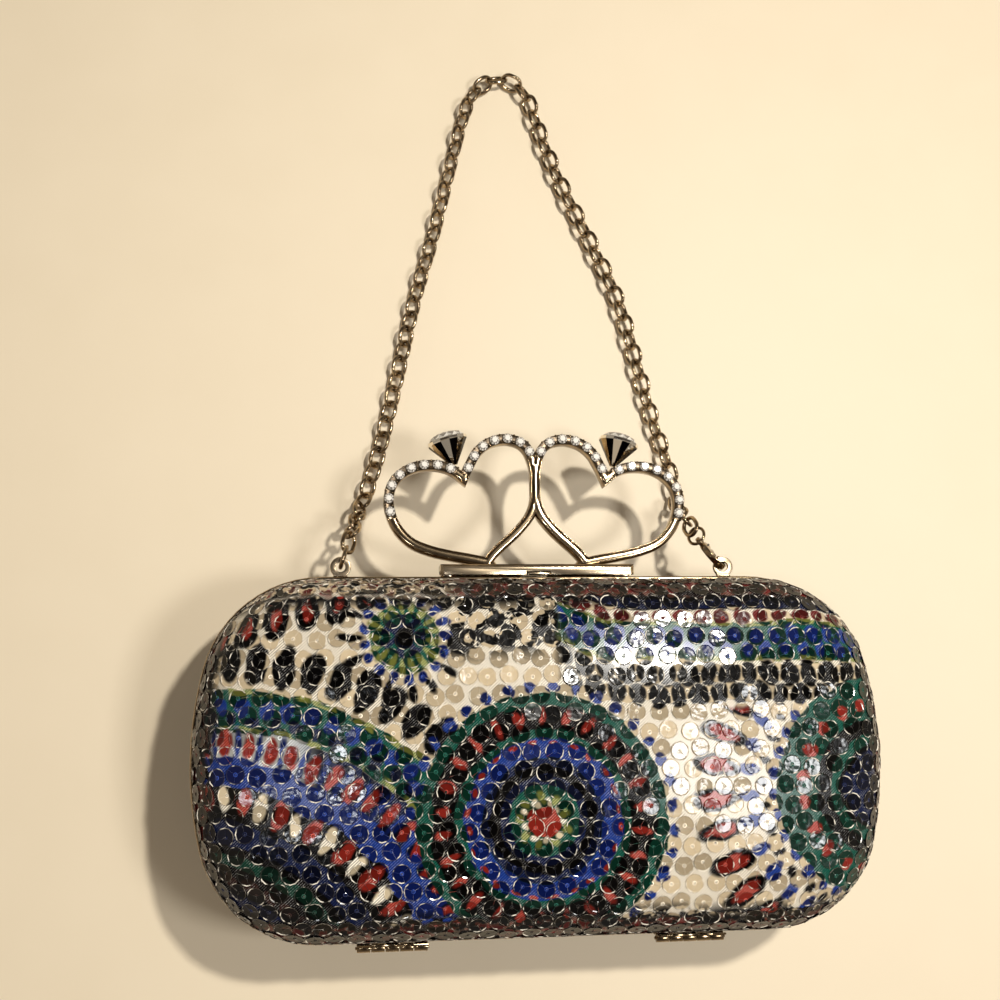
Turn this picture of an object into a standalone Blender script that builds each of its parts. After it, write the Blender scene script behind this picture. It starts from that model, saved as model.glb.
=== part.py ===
"""Hard evening clutch with a two-heart finger clasp, lying on its back.

Metres, +Z up out of the front face, +X to the right, +Y towards the clasp.
The origin is the centre of the flat area that the back rests on.
"""
import math

import bmesh
import bpy
from mathutils import Vector
from mathutils.geometry import tessellate_polygon

# Case
CASE_WIDTH = 0.1800
CASE_HEIGHT = 0.0928
CASE_DEPTH = 0.0500
SIDE_ARC_RADIUS = 0.0960
CORNER_RADIUS = 0.0310
SHOULDER_RADIUS = 0.0140
WALL_LEAN = math.radians(8)
SHOULDER_END = math.radians(84)
FRONT_CROWN = 0.0025
BACK_CROWN = 0.0010
FRONT_FACE_SHARES = (0.65, 0.30)
BACK_FACE_SHARES = (0.80, 0.60)

# Layers of a half case, from outside to inside
COVER_THICKNESS = 0.0006
SHELL_THICKNESS = 0.0012
LINING_THICKNESS = 0.0005
CLEARANCE = 0.0003

# Rim frames
FRAME_HEIGHT = 0.0030
FRAME_PROUD = 0.0008
FRAME_CHAMFER = 0.0004

# Case hinges on the bottom edge
HINGE_CENTRE_X = 0.0387
HINGE_LENGTH = 0.0182
HINGE_KNUCKLES = 5
HINGE_BARREL_RADIUS = 0.0011
HINGE_BORE_RADIUS = 0.0007
HINGE_PIN_RADIUS = 0.0004
HINGE_PIN_OVERHANG = 0.0003
LEAF_THICKNESS = 0.00055
LEAF_HEIGHT = 0.0031
LEAF_STRIP_START = 0.0019
LEAF_STRIP_INSET = 0.00006

# Saddle bar of the clasp
BAR_LENGTH = 0.0520
BAR_DEPTH = 0.0091
BAR_HEIGHT = 0.00285
BAR_CHAMFER = 0.0009
BAR_ROOF = 0.00155
BAR_HOOK_WALL = 0.0012
BAR_END_EDGE = 0.0003
CLASP_AXIS_BACK = 0.0047
CLASP_BARREL_RADIUS = 0.0011
CLASP_BORE_RADIUS = 0.0008
CLASP_PIN_RADIUS = 0.0005
CLASP_BARREL_START = 0.0036
CLASP_WEB_THICKNESS = 0.0010
CLASP_WEB_REACH = 0.0029
BEARING_END_INSET = 0.0004
BEARING_LENGTH = 0.0027
BEARING_TAB_THICKNESS = 0.0007
BEARING_TAB_REACH = 0.0042
CLASP_PIN_INSET = 0.0002
SPRING_COIL_RADIUS = 0.00095
SPRING_WIRE_RADIUS = 0.00016
SPRING_HALF_LENGTH = 0.0028
SPRING_TURNS = 5
SPRING_LEG = 0.0034

# Catch tongue on the front frame, under the bar
TONGUE_HALF_LENGTH = 0.0030
TONGUE_HEIGHT = 0.0006
TONGUE_DEPTH = 0.0040

# Heart bands, drawn for the right heart and mirrored for the left one
KNUCKLE_HALF_WIDTH = 0.0396
KNUCKLE_HEIGHT = 0.0344
BAND_WIDTH = 0.0028
BAND_DEPTH = 0.0045
BAND_FLAT = 0.0018
BAND_SIDE = 0.0030
OUTER_LOBE_SHARES = (
    (0.336, 0.012), (0.470, 0.042), (0.596, 0.068), (0.722, 0.103), (0.845, 0.162),
    (0.934, 0.261), (0.985, 0.381), (1.000, 0.497), (0.980, 0.613), (0.914, 0.706),
    (0.806, 0.766), (0.682, 0.776), (0.576, 0.744), (0.492, 0.674))
INNER_LOBE_SHARES = (
    (0.450, 0.782), (0.394, 0.890), (0.311, 0.962), (0.206, 0.991), (0.109, 0.968),
    (0.044, 0.897), (0.008, 0.757), (0.004, 0.597), (0.012, 0.494), (0.045, 0.381),
    (0.109, 0.279), (0.181, 0.198), (0.250, 0.128), (0.303, 0.066))

MITRE_SHARE = 0.6

# Rhinestones on the heart bands
STONE_RADIUS = 0.00142
STONE_TABLE_SHARE = 0.60
STONE_HEIGHT = 0.0009
STONE_PITCH = 0.00362
OUTER_LOBE_STONES = 8
INNER_LOBE_STONES = 7
OUTER_NOTCH_GAP = 0.0044
INNER_NOTCH_GAP = 0.0030
STONE_SIDES = 8
SETTING_WIDTH = 0.0022
SETTING_HEIGHT = 0.0003

# Cone studs at the notches
CONE_APEX_X = 0.0219
CONE_APEX_HEIGHT = 0.0274
CONE_LEAN = math.radians(16)
CONE_FOOT_RADIUS = 0.0007
CONE_RIM_RADIUS = 0.0055
CONE_LENGTH = 0.0064
CONE_RIM_BAND = 0.0006
CROWN_GIRDLE_RADIUS = 0.0051
CROWN_TABLE_RADIUS = 0.0031
CROWN_HEIGHT = 0.0016
CONE_SIDES = 12

# Lugs on the top edge
LUG_FROM_CORNER = 0.00485
LUG_HOLE_HEIGHT = 0.00295
LUG_EAR_RADIUS = 0.00275
LUG_HOLE_RADIUS = 0.0013
LUG_NECK_WIDTH = 0.0038
LUG_THICKNESS = 0.0010
LUG_PLANE_BELOW_MIDDLE = 0.0018

# Chain
LINK_LENGTH = 0.0069
LINK_WIDTH = 0.0047
LINK_WIRE = 0.00105
END_LINK_TURN = math.radians(17)
END_LINK_DROP = math.radians(12)
ROUTE_HALF_WIDTH = 0.0523
CHAIN_ROUTE = (
    (-0.0504, 0.0556, 0.0218), (-0.0497, 0.0580, 0.0207), (-0.0490, 0.0605, 0.0182),
    (-0.0483, 0.0630, 0.0142), (-0.0476, 0.0655, 0.0098), (-0.0467, 0.0684, 0.0060),
    (-0.0456, 0.0718, 0.0034), (-0.0444, 0.0756, 0.0026), (-0.0411, 0.0870, 0.0025),
    (-0.0360, 0.1090, 0.0025), (-0.0313, 0.1303, 0.0025), (-0.0258, 0.1499, 0.0025),
    (-0.0207, 0.1710, 0.0025), (-0.0172, 0.1852, 0.0025), (-0.0147, 0.1930, 0.0025),
    (-0.0113, 0.1982, 0.0025), (-0.0060, 0.2009, 0.0025), (-0.0005, 0.1997, 0.0025),
    (0.0032, 0.1953, 0.0025), (0.0056, 0.1884, 0.0025), (0.0085, 0.1795, 0.0025),
    (0.0134, 0.1672, 0.0025), (0.0220, 0.1491, 0.0025), (0.0295, 0.1318, 0.0025),
    (0.0344, 0.1134, 0.0025), (0.0386, 0.0964, 0.0025), (0.0428, 0.0828, 0.0025),
    (0.0443, 0.0770, 0.0025), (0.0449, 0.0731, 0.0031), (0.0448, 0.0701, 0.0047),
    (0.0444, 0.0679, 0.0073), (0.0440, 0.0663, 0.0104), (0.0438, 0.0649, 0.0136),
    (0.0440, 0.0635, 0.0164), (0.0443, 0.0621, 0.0186), (0.0447, 0.06065, 0.0200))
CHAIN_STEPS = 44
JUMP_RING_RADIUS = 0.0024
JUMP_RING_WIRE = 0.0009
JUMP_RING_DROOP = math.radians(40)

# Lobster clasp, drawn from its tail eye to its hook
LOBSTER_LENGTH = 0.0088
LOBSTER_HALF_HEIGHT = 0.0026
LOBSTER_BODY_THICKNESS = 0.0026
LOBSTER_HOOK_THICKNESS = 0.0012
LOBSTER_HOOK_WIRE = 0.0010
LOBSTER_EYE_RADIUS = 0.0015
LOBSTER_EYE_HOLE = 0.00075
LOBSTER_EYE_SETBACK = 0.0009
LOBSTER_ROLL = math.radians(-28)
LOBSTER_TURN = math.radians(41)
GATE_THICKNESS = 0.0010
GATE_BARREL_RADIUS = 0.0008
GATE_BORE_RADIUS = 0.0005
GATE_PIN_RADIUS = 0.00025
HOOK_OUTLINE_SHARES = (
    (0.220, 0.780), (0.500, 1.000), (0.700, 0.960), (0.880, 0.660), (1.000, 0.000),
    (0.900, -0.640), (0.760, -0.810), (0.604, -0.810), (0.604, -0.420), (0.740, -0.420),
    (0.840, -0.340), (0.886, 0.000), (0.830, 0.370), (0.680, 0.500), (0.500, 0.540),
    (0.220, 0.560))
BLOCK_OUTLINE_SHARES = (
    (0.000, 0.420), (0.150, 0.800), (0.340, 0.960), (0.380, 0.960), (0.380, 0.500),
    (0.300, 0.300), (0.270, -0.100), (0.270, -0.760), (0.150, -0.780), (0.000, -0.420))
GATE_PIVOT_SHARES = (0.135, -0.290)
GATE_OUTLINE_SHARES = (
    (0.290, -0.120), (0.400, -0.460), (0.558, -0.440), (0.558, -0.800), (0.480, -0.840),
    (0.430, -1.230), (0.350, -1.230), (0.290, -0.860), (0.100, -0.640))

# Fineness of round shapes
SIDE_STEPS = 2
CORNER_STEPS = 5
FLAT_STEPS = 2
SHOULDER_STEPS = 3
BARREL_STEPS = 12
HEART_SAMPLES = 14
LINK_END_STEPS = 6
SETTING_STEPS = 2
RING_STEPS = 14
SPRING_STEPS = 8
FILL_SCALE = 1000.0
WELD_DISTANCE = 0.000002
HALF_STEP = math.pi / BARREL_STEPS

# Places worked out from the sizes above
MIDDLE_Z = CASE_DEPTH / 2
FRAME_BOTTOM = CLEARANCE / 2
PAN_EDGE = FRAME_BOTTOM + FRAME_HEIGHT + CLEARANCE
PAN_HEIGHT = CASE_DEPTH / 2 - PAN_EDGE
SHELL_START = COVER_THICKNESS + CLEARANCE
LINING_START = SHELL_START + SHELL_THICKNESS + CLEARANCE
LAYERS = LINING_START + LINING_THICKNESS
FRAME_WIDTH = FRAME_PROUD + LAYERS
FRAME_TOP_Y = CASE_HEIGHT / 2
HINGE_SEAT = HINGE_BARREL_RADIUS + CLEARANCE / 3
HINGE_AXIS_Y = -(CASE_HEIGHT / 2 + CLEARANCE + HINGE_SEAT)
BAR_UNDER_Y = FRAME_TOP_Y + CLEARANCE
BAR_TOP_Y = BAR_UNDER_Y + BAR_HEIGHT
BAR_FRONT_Z = MIDDLE_Z + BAR_DEPTH / 2
CLASP_AXIS_Z = MIDDLE_Z - CLASP_AXIS_BACK
CLASP_AXIS_Y = BAR_UNDER_Y + CLEARANCE + CLASP_BARREL_RADIUS
BAR_BACK_Z = CLASP_AXIS_Z + CLASP_BARREL_RADIUS + CLEARANCE
BAR_ROOF_Y = BAR_TOP_Y - BAR_ROOF
BEARING_END = BAR_LENGTH / 2 - BEARING_END_INSET
BEARING_START = BEARING_END - BEARING_LENGTH
CLASP_BARREL_END = BEARING_START - CLEARANCE
CLASP_PIN_END = BAR_LENGTH / 2 - CLASP_PIN_INSET
KNUCKLE_BASE_Y = BAR_TOP_Y + CLEARANCE
SIDE_ARC_X = CASE_WIDTH / 2 - SIDE_ARC_RADIUS
CORNER_Y = CASE_HEIGHT / 2 - CORNER_RADIUS
CORNER_X = SIDE_ARC_X + math.sqrt((SIDE_ARC_RADIUS - CORNER_RADIUS) ** 2 - CORNER_Y ** 2)
LUG_X = CORNER_X - LUG_FROM_CORNER
LUG_Z = MIDDLE_Z - LUG_PLANE_BELOW_MIDDLE
LUG_HOLE_Y = FRAME_TOP_Y + LUG_HOLE_HEIGHT


def clear_scene():
    """Take every object out of the file."""
    for item in list(bpy.data.objects):
        bpy.data.objects.remove(item, do_unlink=True)


def material(name, colour, roughness, metallic):
    """A plain Principled material."""
    made = bpy.data.materials.new(name)
    made.use_nodes = True
    shader = made.node_tree.nodes["Principled BSDF"]
    shader.inputs["Base Color"].default_value = (*colour, 1.0)
    shader.inputs["Roughness"].default_value = roughness
    shader.inputs["Metallic"].default_value = metallic
    return made


def loft(rings, closed=False):
    """Skin a list of equal rings; an open loft gets a cap at each end."""
    count = len(rings[0])
    verts = [point for ring in rings for point in ring]
    faces = []
    spans = len(rings) if closed else len(rings) - 1
    for i in range(spans):
        here = i * count
        there = (i + 1) % len(rings) * count
        for k in range(count):
            following = (k + 1) % count
            faces.append((here + k, here + following, there + following, there + k))
    if not closed:
        faces.append(tuple(reversed(range(count))))
        faces.append(tuple(range(len(verts) - count, len(verts))))
    return verts, faces


def prism(outline, holes, low, high, place):
    """Extrude a plane outline with holes; place turns (u, v, w) into a point."""
    loops = [outline] + list(holes)
    flat = [[Vector((u * FILL_SCALE, v * FILL_SCALE, 0)) for u, v in loop] for loop in loops]
    points = [pair for loop in loops for pair in loop]
    count = len(points)
    verts = [place(u, v, low) for u, v in points] + [place(u, v, high) for u, v in points]
    faces = []
    for a, b, c in tessellate_polygon(flat):
        faces.append((a, b, c))
        faces.append((c + count, b + count, a + count))
    start = 0
    for loop in loops:
        for k in range(len(loop)):
            first = start + k
            second = start + (k + 1) % len(loop)
            faces.append((first, second, second + count, first + count))
        start += len(loop)
    return verts, faces


def make(name, solids, finish, smooth=True):
    """One object from a list of solids, welded, with its faces pointing out."""
    work = bmesh.new()
    for verts, faces in solids:
        made = [work.verts.new(point) for point in verts]
        for face in faces:
            work.faces.new([made[k] for k in face])
    bmesh.ops.remove_doubles(work, verts=work.verts, dist=WELD_DISTANCE)
    bmesh.ops.recalc_face_normals(work, faces=work.faces)
    mesh = bpy.data.meshes.new(name)
    work.to_mesh(mesh)
    work.free()
    mesh.materials.append(finish)
    if smooth:
        mesh.shade_smooth()
        mesh.set_sharp_from_angle(angle=math.radians(35))
    item = bpy.data.objects.new(name, mesh)
    bpy.context.scene.collection.objects.link(item)
    return item


def combine(base, other, operation):
    """Boolean the other object into the base and drop the other."""
    modifier = base.modifiers.new(operation.lower(), "BOOLEAN")
    modifier.operation = operation
    modifier.solver = "EXACT"
    modifier.object = other
    graph = bpy.context.evaluated_depsgraph_get()
    graph.update()
    mesh = bpy.data.meshes.new_from_object(base.evaluated_get(graph))
    base.modifiers.clear()
    work = bmesh.new()
    work.from_mesh(mesh)
    bmesh.ops.remove_doubles(work, verts=work.verts, dist=WELD_DISTANCE)
    bmesh.ops.triangulate(work, faces=work.faces)
    work.to_mesh(mesh)
    work.free()
    base.data = mesh
    bpy.data.objects.remove(other, do_unlink=True)
    return base


def set_origin(item, place):
    """Move an object's origin and leave its shape where it is."""
    for vertex in item.data.vertices:
        vertex.co -= Vector(place)
    item.location = place


def circle(radius, steps, centre=(0, 0), turn=0.0):
    """Points of a round hole or barrel."""
    angles = [turn + 2 * math.pi * k / steps for k in range(steps)]
    return [(centre[0] + radius * math.cos(a), centre[1] + radius * math.sin(a)) for a in angles]


def along_x(y, z, side_u=1, side_v=1):
    """Place a section drawn in (u, v) around an axis along X."""
    return lambda u, v, w: Vector((w, y + side_u * u, z + side_v * v))


def rod(radius, start, end, y, z, steps=BARREL_STEPS):
    """A round rod along X."""
    return prism(circle(radius, steps), [], start, end, along_x(y, z))


def case_outline(inset, scale=1.0):
    """Outline of the case: bowed sides, round corners, straight top and bottom."""
    half_height = CASE_HEIGHT / 2
    join = math.atan2(CORNER_Y, CORNER_X - SIDE_ARC_X)
    quarter = []
    for k in range(SIDE_STEPS):
        angle = join * k / SIDE_STEPS
        radius = SIDE_ARC_RADIUS - inset
        quarter.append((SIDE_ARC_X + radius * math.cos(angle), radius * math.sin(angle)))
    for k in range(CORNER_STEPS):
        angle = join + (math.pi / 2 - join) * k / CORNER_STEPS
        radius = CORNER_RADIUS - inset
        quarter.append((CORNER_X + radius * math.cos(angle), CORNER_Y + radius * math.sin(angle)))
    for k in range(FLAT_STEPS):
        quarter.append((CORNER_X * (1 - k / FLAT_STEPS), half_height - inset))
    upper = quarter + [(0, half_height - inset)] + [(-x, y) for x, y in reversed(quarter)]
    loop = upper + [(-x, -y) for x, y in upper[1:-1]]
    return [(x * scale, y * scale) for x, y in loop]


def ring_at(inset, z, scale=1.0):
    """The case outline as points at one height."""
    return [Vector((x, y, z)) for x, y in case_outline(inset, scale)]


def pan_surface(depth, side, crown, face_shares):
    """Rings of one skin of a half case, from its edge to the middle of its face."""
    rise = SHOULDER_RADIUS * (math.sin(SHOULDER_END) - math.sin(WALL_LEAN))
    wall = PAN_HEIGHT - crown - rise
    top_inset = FRAME_PROUD + wall * math.tan(WALL_LEAN)
    centre_inset = top_inset + SHOULDER_RADIUS * math.cos(WALL_LEAN)
    centre_height = wall - SHOULDER_RADIUS * math.sin(WALL_LEAN)
    radius = SHOULDER_RADIUS - depth

    def level(height):
        return MIDDLE_Z + side * (PAN_EDGE + height)

    rings = [ring_at(FRAME_PROUD + depth / math.cos(WALL_LEAN), level(0))]
    for k in range(SHOULDER_STEPS + 1):
        angle = WALL_LEAN + (SHOULDER_END - WALL_LEAN) * k / SHOULDER_STEPS
        inset = centre_inset - radius * math.cos(angle)
        rings.append(ring_at(inset, level(centre_height + radius * math.sin(angle))))
    edge = centre_height + radius * math.sin(SHOULDER_END)
    last = face_shares[-1]
    for share in face_shares:
        height = edge + crown * (1 - share ** 2) / (1 - last ** 2)
        rings.append(ring_at(inset, level(height), share))
    return rings


def half_pan(name, start, thickness, side, finish):
    """One layer of a half case: cover, shell or lining."""
    crown = FRONT_CROWN if side > 0 else BACK_CROWN
    shares = FRONT_FACE_SHARES if side > 0 else BACK_FACE_SHARES
    inner = pan_surface(start + thickness, side, crown, shares)
    outer = pan_surface(start, side, crown, shares)
    return make(name, [loft(list(reversed(inner)) + outer)], finish)


def rim_frame(name, side, finish):
    """The metal rim that holds the edges of one half."""
    low = MIDDLE_Z + side * FRAME_BOTTOM
    high = MIDDLE_Z + side * (FRAME_BOTTOM + FRAME_HEIGHT)
    step = side * FRAME_CHAMFER
    rings = [ring_at(FRAME_WIDTH, low), ring_at(FRAME_CHAMFER, low), ring_at(0, low + step),
             ring_at(0, high - step), ring_at(FRAME_CHAMFER, high), ring_at(FRAME_WIDTH, high)]
    return make(name, [loft(rings, closed=True)], finish)


def knuckle_outline(radius, plate_far, plate_thickness, plate_reach):
    """Section of a barrel with a plate that leaves it on its +u side, towards +v."""
    plate_near = plate_far - plate_thickness
    start = math.acos(plate_near / radius)
    points = []
    for k in range(BARREL_STEPS):
        angle = start + (2 * math.pi - start) * k / BARREL_STEPS
        points.append((radius * math.cos(angle), radius * math.sin(angle)))
    points.append((plate_far, 0))
    points.append((plate_far, plate_reach))
    points.append((plate_near, plate_reach))
    return points


def hinge_leaf(name, centre_x, side, finish):
    """Knuckles of one leaf, every other one of the hinge, on their soldered strip."""
    outline = knuckle_outline(HINGE_BARREL_RADIUS, HINGE_SEAT, LEAF_THICKNESS, LEAF_HEIGHT)
    bore = circle(HINGE_BORE_RADIUS, BARREL_STEPS, turn=HALF_STEP)
    place = along_x(HINGE_AXIS_Y, MIDDLE_Z, 1, side)
    pitch = HINGE_LENGTH / HINGE_KNUCKLES
    left = centre_x - HINGE_LENGTH / 2
    solids = []
    for k in range(HINGE_KNUCKLES):
        if (k % 2 == 0) == (side < 0):
            start = left + k * pitch + CLEARANCE / 2
            solids.append(prism(outline, [bore], start, start + pitch - CLEARANCE, place))
    leaf = make(name, solids, finish)
    near = HINGE_SEAT - LEAF_THICKNESS + LEAF_STRIP_INSET
    far = HINGE_SEAT - LEAF_STRIP_INSET
    low = LEAF_STRIP_START
    high = LEAF_HEIGHT - LEAF_STRIP_INSET
    strip = [(near, low), (far, low), (far, high), (near, high)]
    end = left + HINGE_LENGTH - LEAF_STRIP_INSET
    bar = make(name + "_strip", [prism(strip, [], left + LEAF_STRIP_INSET, end, place)], finish)
    combine(leaf, bar, "UNION")
    if side > 0:
        set_origin(leaf, (centre_x, HINGE_AXIS_Y, MIDDLE_Z))
    return leaf


def hinge_pin(name, centre_x, finish):
    """The pin through one hinge."""
    reach = HINGE_LENGTH / 2 + HINGE_PIN_OVERHANG
    solid = rod(HINGE_PIN_RADIUS, centre_x - reach, centre_x + reach, HINGE_AXIS_Y, MIDDLE_Z)
    return make(name, [solid], finish)


def clasp_bar(finish):
    """The saddle bar: a chamfered channel over the frames, with two barrels at its back."""
    hook_in = BAR_FRONT_Z - BAR_HOOK_WALL

    def section(x, pulled_back, edge):
        front = BAR_FRONT_Z - pulled_back
        points = [(BAR_ROOF_Y, BAR_BACK_Z), (BAR_ROOF_Y, hook_in), (BAR_UNDER_Y, hook_in),
                  (BAR_UNDER_Y, front), (BAR_TOP_Y - edge, front),
                  (BAR_TOP_Y, BAR_FRONT_Z - BAR_CHAMFER), (BAR_TOP_Y, BAR_BACK_Z)]
        return [Vector((x, y, z)) for y, z in points]

    half = BAR_LENGTH / 2
    flat = half - BAR_CHAMFER
    rings = [section(-half, BAR_CHAMFER, BAR_END_EDGE), section(-flat, 0, BAR_CHAMFER),
             section(flat, 0, BAR_CHAMFER), section(half, BAR_CHAMFER, BAR_END_EDGE)]
    bar = make("clasp_bar", [loft(rings)], finish)
    web_top = CLASP_BARREL_RADIUS + CLEARANCE / 6
    outline = knuckle_outline(CLASP_BARREL_RADIUS, web_top, CLASP_WEB_THICKNESS, CLASP_WEB_REACH)
    bore = circle(CLASP_BORE_RADIUS, BARREL_STEPS, turn=HALF_STEP)
    place = along_x(CLASP_AXIS_Y, CLASP_AXIS_Z)
    barrels = [prism(outline, [bore], CLASP_BARREL_START, CLASP_BARREL_END, place),
               prism(outline, [bore], -CLASP_BARREL_END, -CLASP_BARREL_START, place)]
    combine(bar, make("clasp_barrels", barrels, finish), "UNION")
    notch_end = TONGUE_HALF_LENGTH + CLEARANCE
    notch_top = BAR_UNDER_Y + TONGUE_HEIGHT + CLEARANCE
    notch = [(BAR_UNDER_Y - CLEARANCE, hook_in - CLEARANCE), (notch_top, hook_in - CLEARANCE),
             (notch_top, BAR_FRONT_Z + CLEARANCE),
             (BAR_UNDER_Y - CLEARANCE, BAR_FRONT_Z + CLEARANCE)]
    cutter = make("notch", [prism(notch, [], -notch_end, notch_end, along_x(0, 0))], finish)
    combine(bar, cutter, "DIFFERENCE")
    set_origin(bar, (0, CLASP_AXIS_Y, CLASP_AXIS_Z))
    return bar


def clasp_bearing(name, side, finish):
    """An ear soldered to the back frame, which holds one end of the clasp pin."""
    seat = CLASP_AXIS_Y - BAR_UNDER_Y
    outline = knuckle_outline(CLASP_BARREL_RADIUS, seat, BEARING_TAB_THICKNESS,
                              BEARING_TAB_REACH)
    bore = circle(CLASP_BORE_RADIUS, BARREL_STEPS, turn=HALF_STEP)
    place = along_x(CLASP_AXIS_Y, CLASP_AXIS_Z, -1, 1)
    solid = prism(outline, [bore], side * BEARING_START, side * BEARING_END, place)
    return make(name, [solid], finish)


def tube(points, radius, sides, closed=False):
    """A round wire along a list of points, with its section square to the path."""
    count = len(points)
    rings = []
    across = None
    for i, point in enumerate(points):
        if closed:
            heading = points[(i + 1) % count] - points[i - 1]
        else:
            heading = points[min(i + 1, count - 1)] - points[max(i - 1, 0)]
        heading.normalize()
        if across is None:
            across = heading.orthogonal()
        across = (across - heading * across.dot(heading)).normalized()
        up = heading.cross(across)
        ring = []
        for k in range(sides):
            angle = 2 * math.pi * (k + 0.5) / sides
            ring.append(point + (across * math.cos(angle) + up * math.sin(angle)) * radius)
        rings.append(ring)
    return loft(rings, closed)


def clasp_spring(finish):
    """A torsion spring round the clasp pin, with a leg at each end on the back frame."""
    steps = SPRING_TURNS * SPRING_STEPS
    points = []
    for k in range(steps + 1):
        angle = 2 * math.pi * k / SPRING_STEPS + math.pi
        x = -SPRING_HALF_LENGTH + 2 * SPRING_HALF_LENGTH * k / steps
        y = CLASP_AXIS_Y + SPRING_COIL_RADIUS * math.cos(angle)
        z = CLASP_AXIS_Z + SPRING_COIL_RADIUS * math.sin(angle)
        points.append(Vector((x, y, z)))
    leg_y = CLASP_AXIS_Y - SPRING_COIL_RADIUS
    points.insert(0, Vector((-SPRING_HALF_LENGTH, leg_y, CLASP_AXIS_Z + SPRING_LEG)))
    return make("clasp_spring", [tube(points, SPRING_WIRE_RADIUS, 4)], finish)


def smooth_curve(points, samples, closed=False):
    """Points of a Catmull-Rom curve through the given ones."""
    result = []
    count = len(points)
    spans = count if closed else count - 1
    for i in range(spans):
        if closed:
            a, b, c, d = (points[(i + k) % count] for k in (-1, 0, 1, 2))
        else:
            a, b, c, d = (points[min(max(i + k, 0), count - 1)] for k in (-1, 0, 1, 2))
        for k in range(samples):
            t = k / samples
            result.append(0.5 * (2 * b + (c - a) * t + (2 * a - 5 * b + 4 * c - d) * t ** 2
                                 + (3 * b - a - 3 * c + d) * t ** 3))
    if not closed:
        result.append(points[-1].copy())
    return result


def evenly(points, count):
    """The given number of equal steps along a run of points."""
    lengths = [0.0]
    for a, b in zip(points, points[1:]):
        lengths.append(lengths[-1] + (b - a).length)
    result = []
    span = 0
    for k in range(count + 1):
        target = lengths[-1] * k / count
        while span < len(points) - 2 and lengths[span + 1] < target:
            span += 1
        part = (target - lengths[span]) / (lengths[span + 1] - lengths[span])
        result.append(points[span].lerp(points[span + 1], part))
    return result


def path_length(points):
    """Length of a run of points."""
    return sum((b - a).length for a, b in zip(points, points[1:]))


def heart_runs():
    """Centre line of the right heart: from its foot to the notch, and back to the foot."""
    def place(shares):
        return [Vector((x * KNUCKLE_HALF_WIDTH, KNUCKLE_BASE_Y + y * KNUCKLE_HEIGHT, 0))
                for x, y in shares]

    outer = place(OUTER_LOBE_SHARES)
    inner = place(INNER_LOBE_SHARES)
    inner_run = [outer[-1]] + inner + [outer[0]]
    return smooth_curve(outer, 6), smooth_curve(inner_run, 6)


def heart_band(name, side, finish):
    """One heart of the clasp: a flat-faced band swept round the heart's centre line."""
    outer, inner = heart_runs()
    line = evenly(outer, HEART_SAMPLES)[:-1] + evenly(inner, HEART_SAMPLES)[:-1]
    flat = BAND_FLAT / 2
    half = BAND_WIDTH / 2
    front = BAND_DEPTH / 2
    flank = BAND_SIDE / 2
    section = [(-half, -flank), (-flat, -front), (flat, -front), (half, -flank),
               (half, flank), (flat, front), (-flat, front), (-half, flank)]
    rings = []
    for ring in band_rings(line, section, True):
        rings.append([Vector((side * max(place.x, CLEARANCE / 2), max(place.y, KNUCKLE_BASE_Y),
                              MIDDLE_Z + place.z)) for place in ring])
    heart = make(name, [loft(rings, closed=True)], finish)
    set_origin(heart, (0, CLASP_AXIS_Y, CLASP_AXIS_Z))
    return heart


def band_rings(line, section, closed):
    """Rings of a section (across, up) along a flat line, mitred at each corner."""
    count = len(line)
    rings = []
    for i, point in enumerate(line):
        if closed:
            before = (point - line[i - 1]).normalized()
            after = (line[(i + 1) % count] - point).normalized()
        else:
            after = (line[min(i + 1, count - 1)] - line[min(i, count - 2)]).normalized()
            before = (line[max(i, 1)] - line[max(i - 1, 0)]).normalized()
        heading = (before + after).normalized()
        mitre = 1 / max(heading.dot(after), MITRE_SHARE)
        out = Vector((-heading.y, heading.x, 0)) * mitre
        rings.append([point + out * u + Vector((0, 0, w)) for u, w in section])
    return rings


def heart_stones(name, side, finish):
    """The rhinestones along both lobes of one heart, on the strip that holds them."""
    outer, inner = heart_runs()
    outer.reverse()
    seat = MIDDLE_Z + BAND_DEPTH / 2 + CLEARANCE
    stones = []
    for run, gap, count in ((outer, OUTER_NOTCH_GAP, OUTER_LOBE_STONES),
                            (inner, INNER_NOTCH_GAP, INNER_LOBE_STONES)):
        for k in range(count):
            centre = point_along(run, gap + k * STONE_PITCH)
            rings = []
            for share, height in ((1.0, SETTING_HEIGHT / 2),
                                  (STONE_TABLE_SHARE, SETTING_HEIGHT + STONE_HEIGHT)):
                round_points = circle(STONE_RADIUS * share, STONE_SIDES,
                                      (side * centre.x, centre.y))
                rings.append([Vector((x, y, seat + height)) for x, y in round_points])
            stones.append(loft(rings))
    line = setting_line(outer, OUTER_NOTCH_GAP, OUTER_LOBE_STONES)
    line = list(reversed(line)) + setting_line(inner, INNER_NOTCH_GAP, INNER_LOBE_STONES)[1:]
    half = SETTING_WIDTH / 2
    section = [(-half, 0), (half, 0), (half, SETTING_HEIGHT), (-half, SETTING_HEIGHT)]
    rings = [[Vector((side * place.x, place.y, seat + place.z)) for place in ring]
             for ring in band_rings(line, section, False)]
    strip = make(name, [loft(rings)], finish, smooth=False)
    combine(strip, make("stones", stones, finish, smooth=False), "UNION")
    set_origin(strip, (0, CLASP_AXIS_Y, CLASP_AXIS_Z))
    return strip


def setting_line(run, gap, count):
    """Line of the setting strip from the notch to its last stone."""
    steps = count * SETTING_STEPS
    reach = gap + (count - 1) * STONE_PITCH
    return [point_along(run, reach * k / steps) for k in range(steps + 1)]


def point_along(points, distance):
    """The point at a distance along a run of points."""
    for a, b in zip(points, points[1:]):
        step = (b - a).length
        if distance <= step:
            return a.lerp(b, distance / step)
        distance -= step
    return points[-1].copy()


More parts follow.
